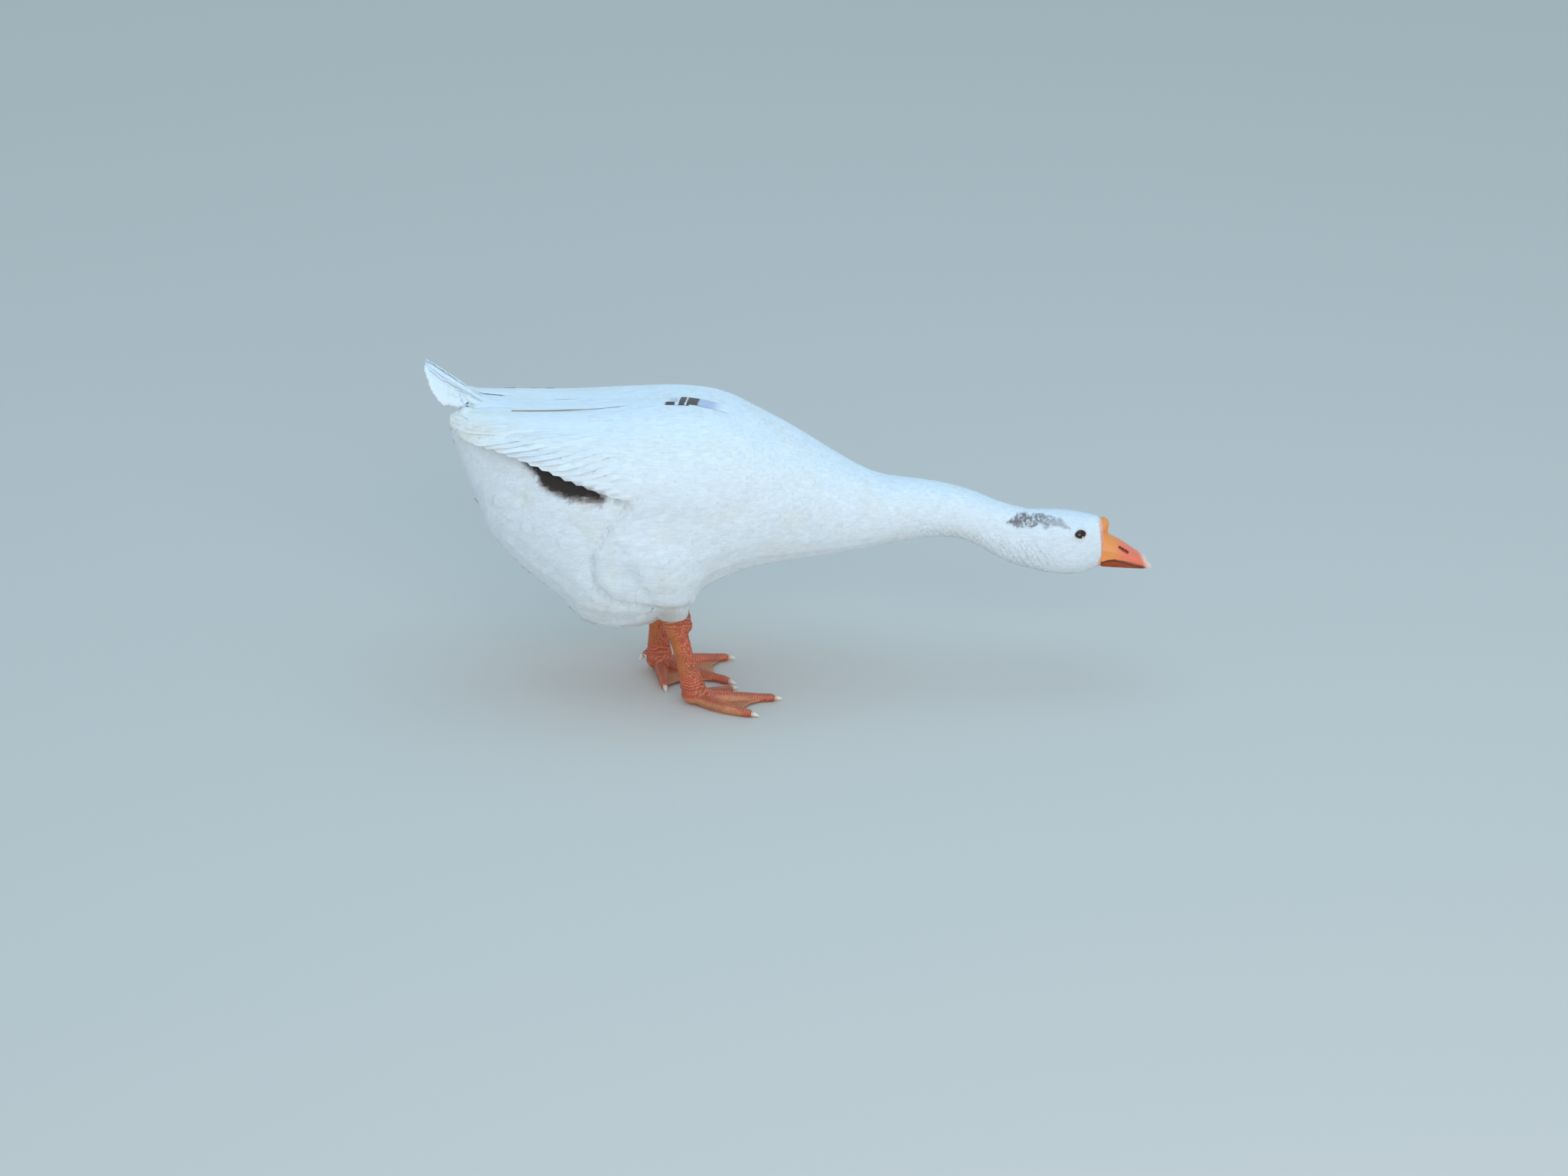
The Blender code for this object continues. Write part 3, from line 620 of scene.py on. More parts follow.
def wander(points, size, seed):
    """Soft noise from -1 to 1."""
    shift = Vector((seed * 3.17, seed * 9.41, seed * 1.93))
    return np.array([noise.noise(Vector(p) / size + shift) for p in points.tolist()])


toe_rows = []
for side in SIDES:
    shank_points = points_of(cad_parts["shank_" + side].data)
    foot_low = shank_points[shank_points[:, 2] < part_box("shank_" + side)[0].z + 0.012]
    ball_spot = np.array([foot_low[:, 0].mean(), foot_low[:, 1].mean(), 0.010])
    for toe in TOES:
        claw = points_of(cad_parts[f"claw_{side}_{toe}"].data)
        order = np.argsort(np.linalg.norm(claw - ball_spot, axis=1))
        toe_end = claw[order[: max(3, len(order) // 6)]].mean(0)
        toe_rows.append((ball_spot, toe_end))

toe_near = np.full(len(leg_points), 1.0)
toe_along = np.zeros(len(leg_points))
for start, end in toe_rows:
    line = end[:2] - start[:2]
    reach = np.linalg.norm(line)
    line = line / reach
    apart = leg_points[:, :2] - start[:2]
    along = apart @ line
    beside = np.abs(apart @ np.array([-line[1], line[0]]))
    beside = np.where((along > -0.004) & (along < reach + 0.012), beside, 1.0)
    closer = beside < toe_near
    toe_near = np.where(closer, beside, toe_near)
    toe_along = np.where(closer, along, toe_along)

# The toes taper into their claws.
for _, end in toe_rows:
    gap = np.linalg.norm(leg_points - end, axis=1)
    leg_points += (TAPER * hump(gap, 0.0, TAPER_REACH))[:, None] * (end - leg_points)
leg_normals = normals_of(leg_points, corners_of(legs))

height = leg_points[:, 2]
is_toe = (1 - ramp(toe_near, 0.0045, 0.0075)) * (1 - ramp(height, 0.016, 0.024))
is_web = (1 - is_toe) * (1 - ramp(height, 0.0085, 0.012)) * ramp(toe_near, 0.0045, 0.0075)
is_shank = np.clip(1 - is_toe - is_web, 0, 1)
scale_cells = cells(leg_points * np.array([1, 1, 0.9]), SCALE_SIZE, 1)
scale_edge = ramp(scale_cells[:, 1] - scale_cells[:, 0], 0.02, 0.34)
front = ramp(leg_normals[:, 0], -0.45, 0.25)
scutes = 0.5 + 0.5 * np.cos(2 * math.pi * (toe_along + 0.0006 * wander(leg_points, 0.006, 2)) / SCUTE_GAP)
scutes = np.clip(scutes * 1.5, 0, 1)
upward = ramp(leg_normals[:, 2], 0.15, 0.6)
wrinkle_zone = ramp(height, 0.080, 0.092) + (1 - ramp(np.abs(height - 0.024), 0.004, 0.009))
wrinkles = 0.5 + 0.5 * np.sin(2 * math.pi * (height + 0.004 * wander(leg_points, 0.013, 3)) / WRINKLE_GAP)
fine_grain = wander(leg_points, 0.0021, 4)
leg_lift = is_shank * (scale_edge - 0.5) * (0.00010 + 0.00036 * front)
leg_lift += is_shank * wrinkle_zone * (wrinkles - 0.5) * 0.00055
leg_lift += is_toe * (upward * (scutes - 0.5) * 0.00050 + (1 - upward) * (scale_edge - 0.5) * 0.00028)
web_grain = wander(leg_points * np.array([0.35, 1, 1]), 0.0035, 5)
leg_lift += is_web * (0.00010 * fine_grain + 0.00012 * web_grain)
leg_lift *= ramp(height, 0.0006, 0.0022)
leg_points = leg_points + leg_normals * leg_lift[:, None]
leg_points[:, 2] = np.maximum(leg_points[:, 2], 0.0)
set_points(legs, leg_points)

skin_holder = linked("skin", skin_mesh)
leg_holder = linked("legs", legs)
join = skin_holder.modifiers.new("join", "BOOLEAN")
join.operation = "UNION"
join.solver = "MANIFOLD"
join.object = leg_holder
whole_skin = bpy.data.meshes.new_from_object(
    skin_holder.evaluated_get(bpy.context.evaluated_depsgraph_get())
)
bpy.data.objects.remove(leg_holder)
bpy.data.objects.remove(skin_holder)

# ---- The lie of the coat and its marks ------------------------------------------------------------------
# Feathers point from the bill to the tail, hang on the flank and thigh, and part round the eye. The bird is
# white, with a dark patch under the folded wing, a barred patch on the back and a mottled one on the nape.
WHITE = np.array((0.78, 0.84, 0.89))
CREAM = np.array((0.78, 0.70, 0.55))
SOIL_AND_SHADE = np.array((0.56, 0.50, 0.44))
SOOT = np.array((0.030, 0.022, 0.020))
BROWN = np.array((0.34, 0.25, 0.17))
DUN = np.array((0.26, 0.21, 0.20))
NAPE = np.array((0.150, 0.125, 0.140))
STRAW = np.array((0.50, 0.34, 0.17))
FLANK_X = (-0.289, -0.281, -0.267, -0.259, -0.250, -0.238, -0.229, -0.214, -0.205, -0.196, -0.190)
FLANK_LOW_Z = (0.300, 0.286, 0.2745, 0.2650, 0.2585, 0.2545, 0.2480, 0.2515, 0.2500, 0.2465, 0.2560)
THIGH_BACK, THIGH_OUT = 0.033, 0.073
thigh_lines = []
for side, sign in SIDES.items():
    hock = hock_of(side)
    thigh_top = np.array((hock.x - THIGH_BACK, sign * THIGH_OUT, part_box("thigh_" + side)[1].z))
    thigh_lines.append((np.array(hock), thigh_top))


def off_line(points, start, end):
    """How far points are from a straight line between two places."""
    line = end - start
    share = np.clip((points - start) @ line / (line @ line), 0, 1)
    return np.linalg.norm(points - start - share[:, None] * line, axis=1)


def lie_of(points, ups):
    """Which way the coat lies at points whose surface faces along ups."""
    x, z = points[:, 0], points[:, 2]
    flow = np.zeros_like(points)
    flow[:, 0] = -1.0
    sideways = np.abs(ups[:, 1])
    behind = 1 - ramp(x, -0.29, -0.15)
    low = 1 - ramp(z, 0.235, 0.285)
    flow[:, 2] = -0.08 + behind * low * (-0.75 * sideways + 0.55 * (1 - sideways))
    for start, end in thigh_lines:
        near = (1 - ramp(off_line(points, start, end), 0.030, 0.050)) * (1 - ramp(z, 0.140, 0.200))
        flow[:, 2] -= 1.8 * near
    for centre in eye_centres.values():
        away = points - centre
        close = hump(np.linalg.norm(away, axis=1), 0.0, 0.0125)
        flow += 1.3 * close[:, None] * unit(away)
    flow -= (flow * ups).sum(1)[:, None] * ups
    return unit(flow)


NAPE_X = (0.2270, 0.2320, 0.2375, 0.2450, 0.2554, 0.2740, 0.2846, 0.2910, 0.2950)
NAPE_TURN = (35.0, 34.0, 31.0, 27.0, 25.5, 28.0, 33.0, 41.0, 45.0)
NAPE_HALF = (1.5, 5.0, 10.0, 14.0, 15.0, 11.0, 9.5, 5.0, 1.5)
FURROW_GAP, FURROW_DEPTH = 0.0058, 0.0008


def furrow_depth(points):
    """0 on the ridges and 1 in the furrows that slant forward and down over the lower front neck."""
    x, y, z = points[..., 0], points[..., 1], points[..., 2]
    middle_z = np.interp(x, (0.09, 0.28), (0.207, 0.168))
    turn = np.arctan2(np.abs(y), z - middle_z)
    phase = (0.80 * x - 0.60 * turn * 0.026) / FURROW_GAP
    groove = np.abs((phase + 0.22 * np.sin(phase * 1.7) + 0.12 * np.sin(9.0 * turn)) % 1.0 - 0.5) * 2
    place = band(x, 0.10, 0.16, 0.262, 0.285) * ramp(turn, 1.15, 1.75)
    return place * (1 - ramp(groove, 0.0, 0.55))


def toned(tone, amount, colour):
    """Colours moved towards another, by an amount from 0 to 1 at each point."""
    return tone + np.clip(amount, 0, 1)[:, None] * (colour - tone)


def marks(points, stray):
    """The colour of skin and coat at points, painted shade included; stray shifts each feather's own colour
    a little.
    """
    x, y, z = points.T
    far_y = np.abs(y)
    tone = np.tile(WHITE, (len(points), 1))
    blotch = wander(points, 0.030, 11)
    mottle = wander(points, 0.0045, 12)
    tone = toned(tone, 0.16 * ramp(blotch, 0.0, 0.6), CREAM)
    # the belly and the thighs are a little soiled and grow darker towards the bottom, partly painted shade
    # on the underside
    tone = toned(tone, 0.26 * (1 - ramp(z, 0.090, 0.170)) * (0.7 + 0.5 * blotch), SOIL_AND_SHADE)
    # brown soiling between the thigh and the belly, partly painted shade under the thigh, and painted shade
    # along the fold behind the thigh
    soiled_and_shaded = hump(x, -0.132, 0.032) * (1 - ramp(z, 0.108, 0.136)) * ramp(far_y, 0.020, 0.045)
    tone = toned(tone, 0.50 * soiled_and_shaded * (0.7 + 0.6 * blotch + 0.3 * mottle), BROWN)
    gap, _, ends = fold_at(points)
    tone = toned(tone, 0.34 * ends * hump(gap + 0.0006 * mottle, 0.0, 0.0016), DUN)
    # cream at the rear of the folded wing
    rear_wing = (1 - ramp(x, -0.330, -0.270)) * ramp(z, 0.290, 0.300) * ramp(far_y, 0.028, 0.034)
    tone = toned(tone, 0.30 * rear_wing * (0.6 + 0.8 * ramp(blotch + stray, -0.2, 0.5)), CREAM)
    # the dark patch under the folded wing
    lobes = wander(points, 0.0110, 17)
    edge = z - np.interp(x, FLANK_X, FLANK_LOW_Z) + 0.0020 * mottle + 0.0030 * stray + 0.0040 * lobes
    front = x + 0.003 * stray + 0.006 * lobes - 0.25 * (z - 0.250)
    inside = ramp(x, -0.293, -0.286) * (1 - ramp(front, -0.197, -0.190)) * ramp(far_y, 0.05, 0.06)
    wing_low = np.interp(x, wing_x, wing_low_z)
    inside *= 1 - ramp(z, wing_low - 0.0005, wing_low + 0.0020)
    tone = toned(tone, 0.85 * inside * ramp(edge, -0.0035, 0.0020), DUN)
    tone = toned(tone, inside * ramp(edge, 0.0005, 0.0065), SOOT)
    # a thin straw line along the wing's lower margin in front of it
    margin = hump(z - wing_low, -0.0006, 0.0009) * ramp(far_y, 0.05, 0.06)
    tone = toned(tone, 0.5 * margin * band(x, -0.196, -0.190, -0.178, -0.166), STRAW)
    # a smudge on the back where barred feathers grow
    patch = band(x, -0.132, -0.124, -0.098, -0.090)
    patch *= band(y, -0.030, -0.025, -0.014, -0.008) * ramp(z, 0.320, 0.325)
    tone = toned(tone, 0.35 * patch, DUN)
    # the mottled patch beside the nape, thickest at its rear
    turn = np.degrees(np.arctan2(far_y, z - 0.170))
    off_middle = np.abs(turn - np.interp(x, NAPE_X, NAPE_TURN)) / np.interp(x, NAPE_X, NAPE_HALF)
    uneven = wander(points, 0.0075, 16)
    nape = (1 - ramp(off_middle + 0.55 * uneven + 0.15 * mottle, 0.72, 1.15)) * (np.abs(x - 0.2605) < 0.034)
    grains = wander(points, 0.0021, 13) + 0.6 * wander(points, 0.0050, 14) + 0.5 * stray
    thick = 0.90 - 0.50 * ramp(x, 0.250, 0.285)
    tone = toned(tone, 0.25 * nape, DUN)
    tone = toned(tone, nape * thick * ramp(grains, -0.40, 0.15), NAPE)
    # shade in the furrows of the neck
    tone = toned(tone, 0.16 * furrow_depth(points), NAPE)
    return tone


# ---- The coat -------------------------------------------------------------------------------------------
# Every feather is its own thin closed vane. Each grows from the skin, rises to the outside of the coat and
# lies over the ones behind it, so that only its end shows.
SPACING_AT_X = (-0.380, -0.240, -0.040, 0.060, 0.130, 0.220, 0.258, 0.285, 0.329)
SPACING = (0.0042, 0.0045, 0.0043, 0.0036, 0.0028, 0.0024, 0.0019, 0.0015, 0.0012)
PATCH = 0.003
TRIES = 8
STRAY, TONE_SPREAD, TWIST_SPREAD = 0.35, 0.022, 0.02
TIP_SLIP, RAGGED_SPREAD = (0.02, 0.16), 0.25
TURN_EASE, RELIEF_STEP = 0.25, 0.0004
QUILLS_FROM_X, QUILLS_SLANT = -0.188, 0.022
STATIONS = np.array((0.0, 0.22, 0.45, 0.68, 0.87, 1.0))
OUTLINE = np.array((0.30, 0.75, 1.0, 0.98, 0.72, 0.20))
FINE_STATIONS = np.array((0.0, 0.35, 0.72, 1.0))
FINE_OUTLINE = np.array((0.40, 1.0, 0.90, 0.24))


def wing_share_at(places):
    """1 where places lie on the outside of a folded wing, 0 elsewhere."""
    found = [wing_tree.find_nearest(p)[3] for p in places.tolist()]
    return 1 - ramp(np.array(found), 0.0012, 0.0022)


wing_copy = copied(WINGS["right"] + WINGS["left"], SWELL)
wing_tree = BVHTree.FromPolygons(points_of(wing_copy).tolist(), corners_of(wing_copy).tolist())
form_wing = wing_share_at(form.points)

SLICES = 60
slice_x = np.linspace(form.points[:, 0].min(), form.points[:, 0].max(), SLICES)
slice_of = np.clip(np.searchsorted(slice_x, form.points[:, 0]), 1, SLICES - 1)
slice_z = [form.points[slice_of == i, 2] for i in range(1, SLICES)]
middle_z = np.array([(z.max() + z.min()) / 2 for z in slice_z])


def unwrapped(places):
    """The body's skin laid flat: along the bird, and round it from under the belly."""
    low, high = slice_x[0], slice_x[-1]
    centre = np.interp(places[:, 0], (slice_x[1:] + slice_x[:-1]) / 2, middle_z)
    turn = np.arctan2(places[:, 1], places[:, 2] - centre)
    return np.stack(((places[:, 0] - low) / (high - low), turn / (2 * math.pi) + 0.5), 1)


def scattered(spacing, allowed, seed):
    """Feather roots spread evenly over the form: places, triangles and their spacing."""
    rng = np.random.default_rng(seed)
    a, b, c = (form.points[form.corners[:, i]] for i in range(3))
    middle = (a + b + c) / 3
    area = np.linalg.norm(np.cross(b - a, c - a), axis=1) / 2
    gap = spacing(middle)
    want = np.where(allowed(middle), area / gap**2, 0.0)
    count = int(want.sum() * TRIES)
    chosen = rng.choice(len(area), count, p=want / want.sum())
    one, two = rng.random((2, count))
    fold = one + two > 1
    one, two = np.where(fold, 1 - one, one), np.where(fold, 1 - two, two)
    places = a[chosen] + one[:, None] * (b - a)[chosen] + two[:, None] * (c - a)[chosen]
    gap = gap[chosen]
    tree = tree_of(places)
    free = np.ones(count, bool)
    kept = []
    for i, place in enumerate(places.tolist()):
        if free[i]:
            kept.append(i)
            for _, j, _ in tree.find_range(place, gap[i]):
                free[j] = False
    kept = np.array(kept)
    return places[kept], chosen[kept], gap[kept]


def marched(roots, triangles, lengths, stations, turn):
    """Walks each feather over the form, the way the coat lies: places, facings and coat depths."""
    ups = unit(form.read(form.normals, roots, triangles))
    ways = lie_of(roots, ups)
    ways = unit(ways + turn[:, None] * np.cross(ups, ways))
    rows, faces, depths = [roots], [ups], [form.read(form_depth[:, None], roots, triangles)[:, 0]]
    for share in np.diff(stations):
        roots, triangles = form.nearest(roots + ways * (lengths * share)[:, None])
        ups = unit(form.read(form.normals, roots, triangles))
        ways = unit(ways + TURN_EASE * lie_of(roots, ups))
        ways = unit(ways - (ways * ups).sum(1)[:, None] * ups)
        rows.append(roots)
        faces.append(ups)
        depths.append(form.read(form_depth[:, None], roots, triangles)[:, 0])
    return np.stack(rows, 1), np.stack(faces, 1), np.stack(depths, 1)


def vane_faces(stations, columns):
    """The triangles of one closed vane: its top, its underside and its two ends."""
    faces = []
    for i in range(stations - 1):
        near, far = i * columns, (i + 1) * columns
        for j in range(columns - 1):
            faces += [(near + j, far + j, far + j + 1), (near + j, far + j + 1, near + j + 1)]
        faces += [(near, near + columns - 1, far + columns - 1), (near, far + columns - 1, far)]
    last = (stations - 1) * columns
    for j in range(1, columns - 1):
        faces += [(0, j, j + 1), (last, last + j + 1, last + j)]
    return np.array(faces)


def vane_undersides(stations, columns):
    """Which of a vane's triangles are its underside."""
    pattern = [False] * (2 * (columns - 1)) + [True, True]
    return np.array(pattern * (stations - 1) + [False, True] * (columns - 2))


def smoothed(mesh):
    """Shades a mesh as one soft surface."""
    mesh.polygons.foreach_set("use_smooth", np.ones(len(mesh.polygons), bool))


def coloured(mesh, tones):
    """Keeps a colour at each of a mesh's points, for its material to show."""
    painted = mesh.color_attributes.new("paint", "FLOAT_COLOR", "POINT")
    tones = np.concatenate((np.clip(tones, 0, 1), np.ones((len(tones), 1))), 1)
    painted.data.foreach_set("color", tones.astype(np.float32).ravel())


def feathers(name, paths, ups, lifts, widths, outline, columns, seed, bow=0.07, ragged=0.0, soft=0.6,
             tilt=0.0, relief=None, paint=None, material=None, hugged=None):
    """One piece of coat: a vane swept along each path, lifted and widths wide, laid on what it hugs."""
    rng = np.random.default_rng(seed)
    count, stations = paths.shape[:2]
    along = np.gradient(paths, axis=1)
    along = unit(along - (along * ups).sum(-1, keepdims=True) * ups)
    beside = np.cross(ups, along)
    across = np.linspace(-1, 1, columns)
    half = (widths[:, None] * outline[None] / 2)[:, :, None]
    twist = rng.normal(0, TWIST_SPREAD, (count, 1, 1)) + np.reshape(tilt, (-1, 1, 1))
    bows = bow * (np.arange(stations) < stations - 1)[:, None]
    rise = lifts[:, :, None] - bows * half * across**2 + twist * half * across
    reach = half * across * (1 + ragged * rng.normal(0, RAGGED_SPREAD, (count, stations, 1)))
    points = paths[:, :, None] + beside[:, :, None] * reach[..., None]
    last = np.linalg.norm(paths[:, -1] - paths[:, -2], axis=-1)[:, None]
    slip = last * rng.uniform(*TIP_SLIP, (count, columns - 2))
    points[:, -1, 1:-1] += along[:, -1, None] * slip[..., None]
    base = np.broadcast_to(ups[:, :, None], points.shape)
    if hugged:
        spots, triangles = hugged.nearest(points.reshape(-1, 3))
        base = unit(hugged.read(hugged.normals, spots, triangles)).reshape(points.shape)
        points = spots.reshape(points.shape)
    points = points + base * rise[..., None]
    if relief:
        level = relief(points)
        points = points + level[..., None] * base
        for way in (along, beside):
            way = np.broadcast_to(way[:, :, None], points.shape)
            base = base - way * ((relief(points + RELIEF_STEP * way) - level) / RELIEF_STEP)[..., None]
        base = unit(base)
    run = np.linalg.norm(np.gradient(paths, axis=1), axis=-1)
    slope = np.gradient(lifts, axis=1) / np.maximum(run, 1e-9)
    own = base + beside[:, :, None] * (2 * bow * across - twist)[..., None]
    own = own - (along * np.clip(slope, -0.5, 0.5)[..., None])[:, :, None]
    facing = unit(soft * base + (1 - soft) * unit(own))
    template = vane_faces(stations, columns)
    per_vane = stations * columns
    faces = (template[None] + (np.arange(count) * per_vane)[:, None, None]).reshape(-1, 3)
    mesh = mesh_from(name, points.reshape(-1, 3), faces)
    piece = linked(name, mesh)
    smoothed(mesh)
    down_vane = np.linspace(0, 1, stations)[None, :, None] + np.zeros((count, 1, 1))
    place_in_vane = np.stack(np.broadcast_arrays(across[None, None] * 0.5 + 0.5, down_vane), -1)
    flat_roots = unwrapped(paths[:, 0])
    span = np.maximum(np.ptp(flat_roots, axis=0), 1e-6)
    flat_roots = (flat_roots - flat_roots.min(0)) / span * (1 - 2 * PATCH) + PATCH / 2
    patches = flat_roots[:, None, None] + place_in_vane * PATCH
    corner_points = faces.ravel()
    for map_name, values in (("OFBake", patches), ("vane", place_in_vane)):
        layer = mesh.uv_layers.new(name=map_name, do_init=False)
        layer.uv.foreach_set("vector", values.reshape(-1, 2)[corner_points].astype(np.float32).ravel())
    stray = np.repeat(rng.normal(0, STRAY, count), per_vane)
    if paint is None:
        tones = marks(points.reshape(-1, 3), stray)
    else:
        tones = paint(points.reshape(-1, 3), place_in_vane.reshape(-1, 2), stray)
    coloured(mesh, tones * np.repeat(1 + TONE_SPREAD * rng.normal(0, 1, count), per_vane)[:, None])
    corner_facing = facing.reshape(-1, 3)[corner_points].reshape(count, -1, 3, 3)
    corner_facing[:, vane_undersides(stations, columns)] *= -1
    mesh.normals_split_custom_set(corner_facing.reshape(-1, 3).tolist())
    mesh.materials.append(material or vane_paint)
    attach(piece, "root")
    return piece


# White feather: dull, faintly sheeny, with fine barbs slanting out from the middle of each vane and painted
# shade in the grooves between them.
BARB_SLANT, BARB_SHARE, BARB_DEPTH = -0.55, 0.10, 0.0004
STRAND_STRETCH, STRAND_FINENESS = (0.16, 1.0, 0.8), 520.0


def relief_shade_group(name, inputs):
    """A node group that gives a fine height and a shade painted from it: the group, what comes in, and where
    it goes out.
    """
    group = bpy.data.node_groups.new(name, "ShaderNodeTree")
    for title, kind in inputs.items():
        group.interface.new_socket(title, in_out="INPUT", socket_type=kind)
    for title in ("Height", "Shade"):
        group.interface.new_socket(title, in_out="OUTPUT", socket_type="NodeSocketFloat")
    return group, group.nodes.new("NodeGroupInput").outputs, group.nodes.new("NodeGroupOutput")


def barb_group():
    """Fine fibres of the coat, as a height and a faint painted shade from it, darker in the grooves and a
    little lighter on the ridges: barbs on each vane, strands over the body.
    """
    group, given, end = relief_shade_group(
        "barbs", {"Vane": "NodeSocketVector", "Place": "NodeSocketVector", "Rows": "NodeSocketFloat"}
    )

    def sum_of(way, *values):
        return node_of(group, "ShaderNodeMath", dict(enumerate(values)), operation=way).outputs[0]

    vane = node_of(group, "ShaderNodeSeparateXYZ", {0: given["Vane"]}).outputs
    apart = sum_of("ABSOLUTE", sum_of("SUBTRACT", vane[0], 0.5))
    rows = sum_of("MULTIPLY", sum_of("MULTIPLY_ADD", apart, BARB_SLANT, vane[1]), given["Rows"])
    drawn = node_of(
        group, "ShaderNodeVectorMath", {0: given["Place"], 1: STRAND_STRETCH}, operation="MULTIPLY"
    ).outputs[0]
    strand = node_of(group, "ShaderNodeTexNoise", {"Vector": drawn, "Scale": STRAND_FINENESS, "Detail": 3.0})
    height = sum_of("MULTIPLY_ADD", sum_of("SINE", rows), BARB_SHARE, strand.outputs["Fac"])
    # painted shade and highlight: darker where the fibres sink, a little lighter where they rise
    shade = node_of(group, "ShaderNodeMapRange", {0: height, 1: 0.25, 2: 0.75, 3: 0.90, 4: 1.03})
    fed(group, end, {"Height": height, "Shade": shade.outputs[0]})
    return group


barbs = barb_group()


def relief_shaded(tree, shader, group, given, relief, depth):
    """Shows the colours painted on the mesh, darkened by the group's painted shade and raised by the fine
    relief that it gives.
    """
    place = node_of(tree, "ShaderNodeTexCoord").outputs["Object"]
    fine_relief = node_of(tree, "ShaderNodeGroup", {"Place": place, **given}, node_tree=group).outputs
    colours = node_of(tree, "ShaderNodeAttribute", attribute_name="paint").outputs["Color"]
    grey = node_of(tree, "ShaderNodeCombineColor", {i: fine_relief["Shade"] for i in range(3)}).outputs[0]
    bump = node_of(tree, "ShaderNodeBump", {"Strength": relief, "Distance": depth, "Height": fine_relief["Height"]})
    fed(tree, shader, {
        "Base Color": mixed(tree, 1.0, colours, grey, "MULTIPLY"), "Normal": bump.outputs[0]
    })


def feather_paint(name, rows, relief, roughness=0.72):
    """A feather's finish, in the colours painted on the mesh."""
    made, tree, shader = new_material(name)
    vane = node_of(tree, "ShaderNodeUVMap", uv_map="vane").outputs[0]
    relief_shaded(tree, shader, barbs, {"Vane": vane, "Rows": rows}, relief, BARB_DEPTH)
    fed(tree, shader, {
        "Roughness": roughness, "Sheen Weight": 0.25, "Sheen Roughness": 0.5, "Specular IOR Level": 0.3
    })
    return made


vane_paint = feather_paint("white_vanes", 150.0, 0.35)

# The skin takes the same marks as the coat over it; the legs' hide is painted scale by scale, with painted
# highlights on the raised scales and painted shade in the crevices between them.
HIDE = np.array((0.48, 0.088, 0.032))
HIDE_HIGHLIGHT = np.array((0.76, 0.30, 0.18))
HIDE_CREVICE_SHADE = np.array((0.30, 0.045, 0.020))
AMBER = np.array((0.52, 0.16, 0.03))
WEB_TAN = np.array((0.60, 0.27, 0.12))
LID = np.array((0.55, 0.20, 0.13))
PINK_RIM = np.array((0.86, 0.42, 0.30))
HIDE_TOP_Z, HIDE_NEAR = 0.112, 0.0004
smoothed(whole_skin)
all_points = points_of(whole_skin)
leg_tree = tree_of(leg_points)
hide = np.tile(HIDE, (len(leg_points), 1))
hide = toned(hide, 0.55 * is_web + 0.25 * is_web * (scale_cells[:, 0] > 0.5), WEB_TAN)
back_strip = is_shank * (1 - ramp(leg_normals[:, 0], -0.25, 0.30)) * ramp(height, 0.028, 0.040)
hide = toned(hide, 0.75 * back_strip, AMBER)
# painted highlights where the scales stand up and painted shade where the hide sinks between them
raised = np.clip(leg_lift / 0.00022, -1, 1)
hide = toned(hide, 0.42 * np.clip(raised, 0, 1), HIDE_HIGHLIGHT)
hide = toned(hide, 0.60 * np.clip(-raised, 0, 1), HIDE_CREVICE_SHADE)
hide = hide * (1 + 0.22 * wander(leg_points, 0.014, 21)[:, None])
tones = marks(all_points, np.zeros(len(all_points)))
for side in SIDES:
    _, _, out, ring = eye_place(all_points, side)
    tones = toned(tones, (1 - ramp(ring, 1.08, 1.16)) * (out > 0) * (all_points[:, 0] > FINE_FROM_X), LID)
past_border = all_points[:, 0] - border_at(all_points[:, 2])
tones = toned(tones, ramp(past_border, -0.0012, -0.0002), PINK_RIM)
for i, place in enumerate(all_points.tolist()):
    if place[2] < HIDE_TOP_Z:
        _, j, gap = leg_tree.find(place)
        if gap < HIDE_NEAR:
            tones[i] = hide[j]
coloured(whole_skin, tones)
skin_paint, skin_tree, skin_shader = new_material("skin_and_hide")
skin_colours = node_of(skin_tree, "ShaderNodeAttribute", attribute_name="paint")
pores = node_of(skin_tree, "ShaderNodeTexNoise", {"Scale": 900.0, "Detail": 3.0})
pore_bump = node_of(skin_tree, "ShaderNodeBump", {
    "Strength": 0.35, "Distance": 0.0003, "Height": pores.outputs["Fac"]
})
fed(skin_tree, skin_shader, {
    "Base Color": skin_colours.outputs["Color"], "Normal": pore_bump.outputs[0], "Roughness": 0.42,
    "Subsurface Weight": 0.12, "Subsurface Radius": (0.004, 0.0012, 0.0006),
})
whole_skin.materials.clear()
whole_skin.materials.append(skin_paint)
skin = linked("skin", whole_skin)
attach(skin, "root")
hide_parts(*FLESH, *LEGS)


EYE_SPACING, EYE_SPREAD = 0.0011, 0.055


def spacing_at(places):
    """How far apart feathers stand."""
    gap = np.interp(places[:, 0], SPACING_AT_X, SPACING)
    for centre in eye_centres.values():
        near = np.linalg.norm(places - centre, axis=1)
        gap = np.minimum(gap, EYE_SPACING + EYE_SPREAD * np.clip(near - EYE_LONG, 0, None))
    return gap


TAIL_ROOT = (-0.336, 0.325)


def feathered(places):
    """Where small feathers grow: not on the lids, the tail quills or the folded wing's long quills."""
    open_skin = np.ones(len(places), bool)
    for side in SIDES:
        _, _, out, ring = eye_place(places, side)
        open_skin &= ~((ring < 1.20) & (out > 0) & (places[:, 0] > FINE_FROM_X))
    open_skin &= places[:, 0] < border_at(places[:, 2]) - 0.0004
    open_skin &= ~((places[:, 0] < TAIL_ROOT[0]) & (places[:, 2] > TAIL_ROOT[1]))
    return open_skin


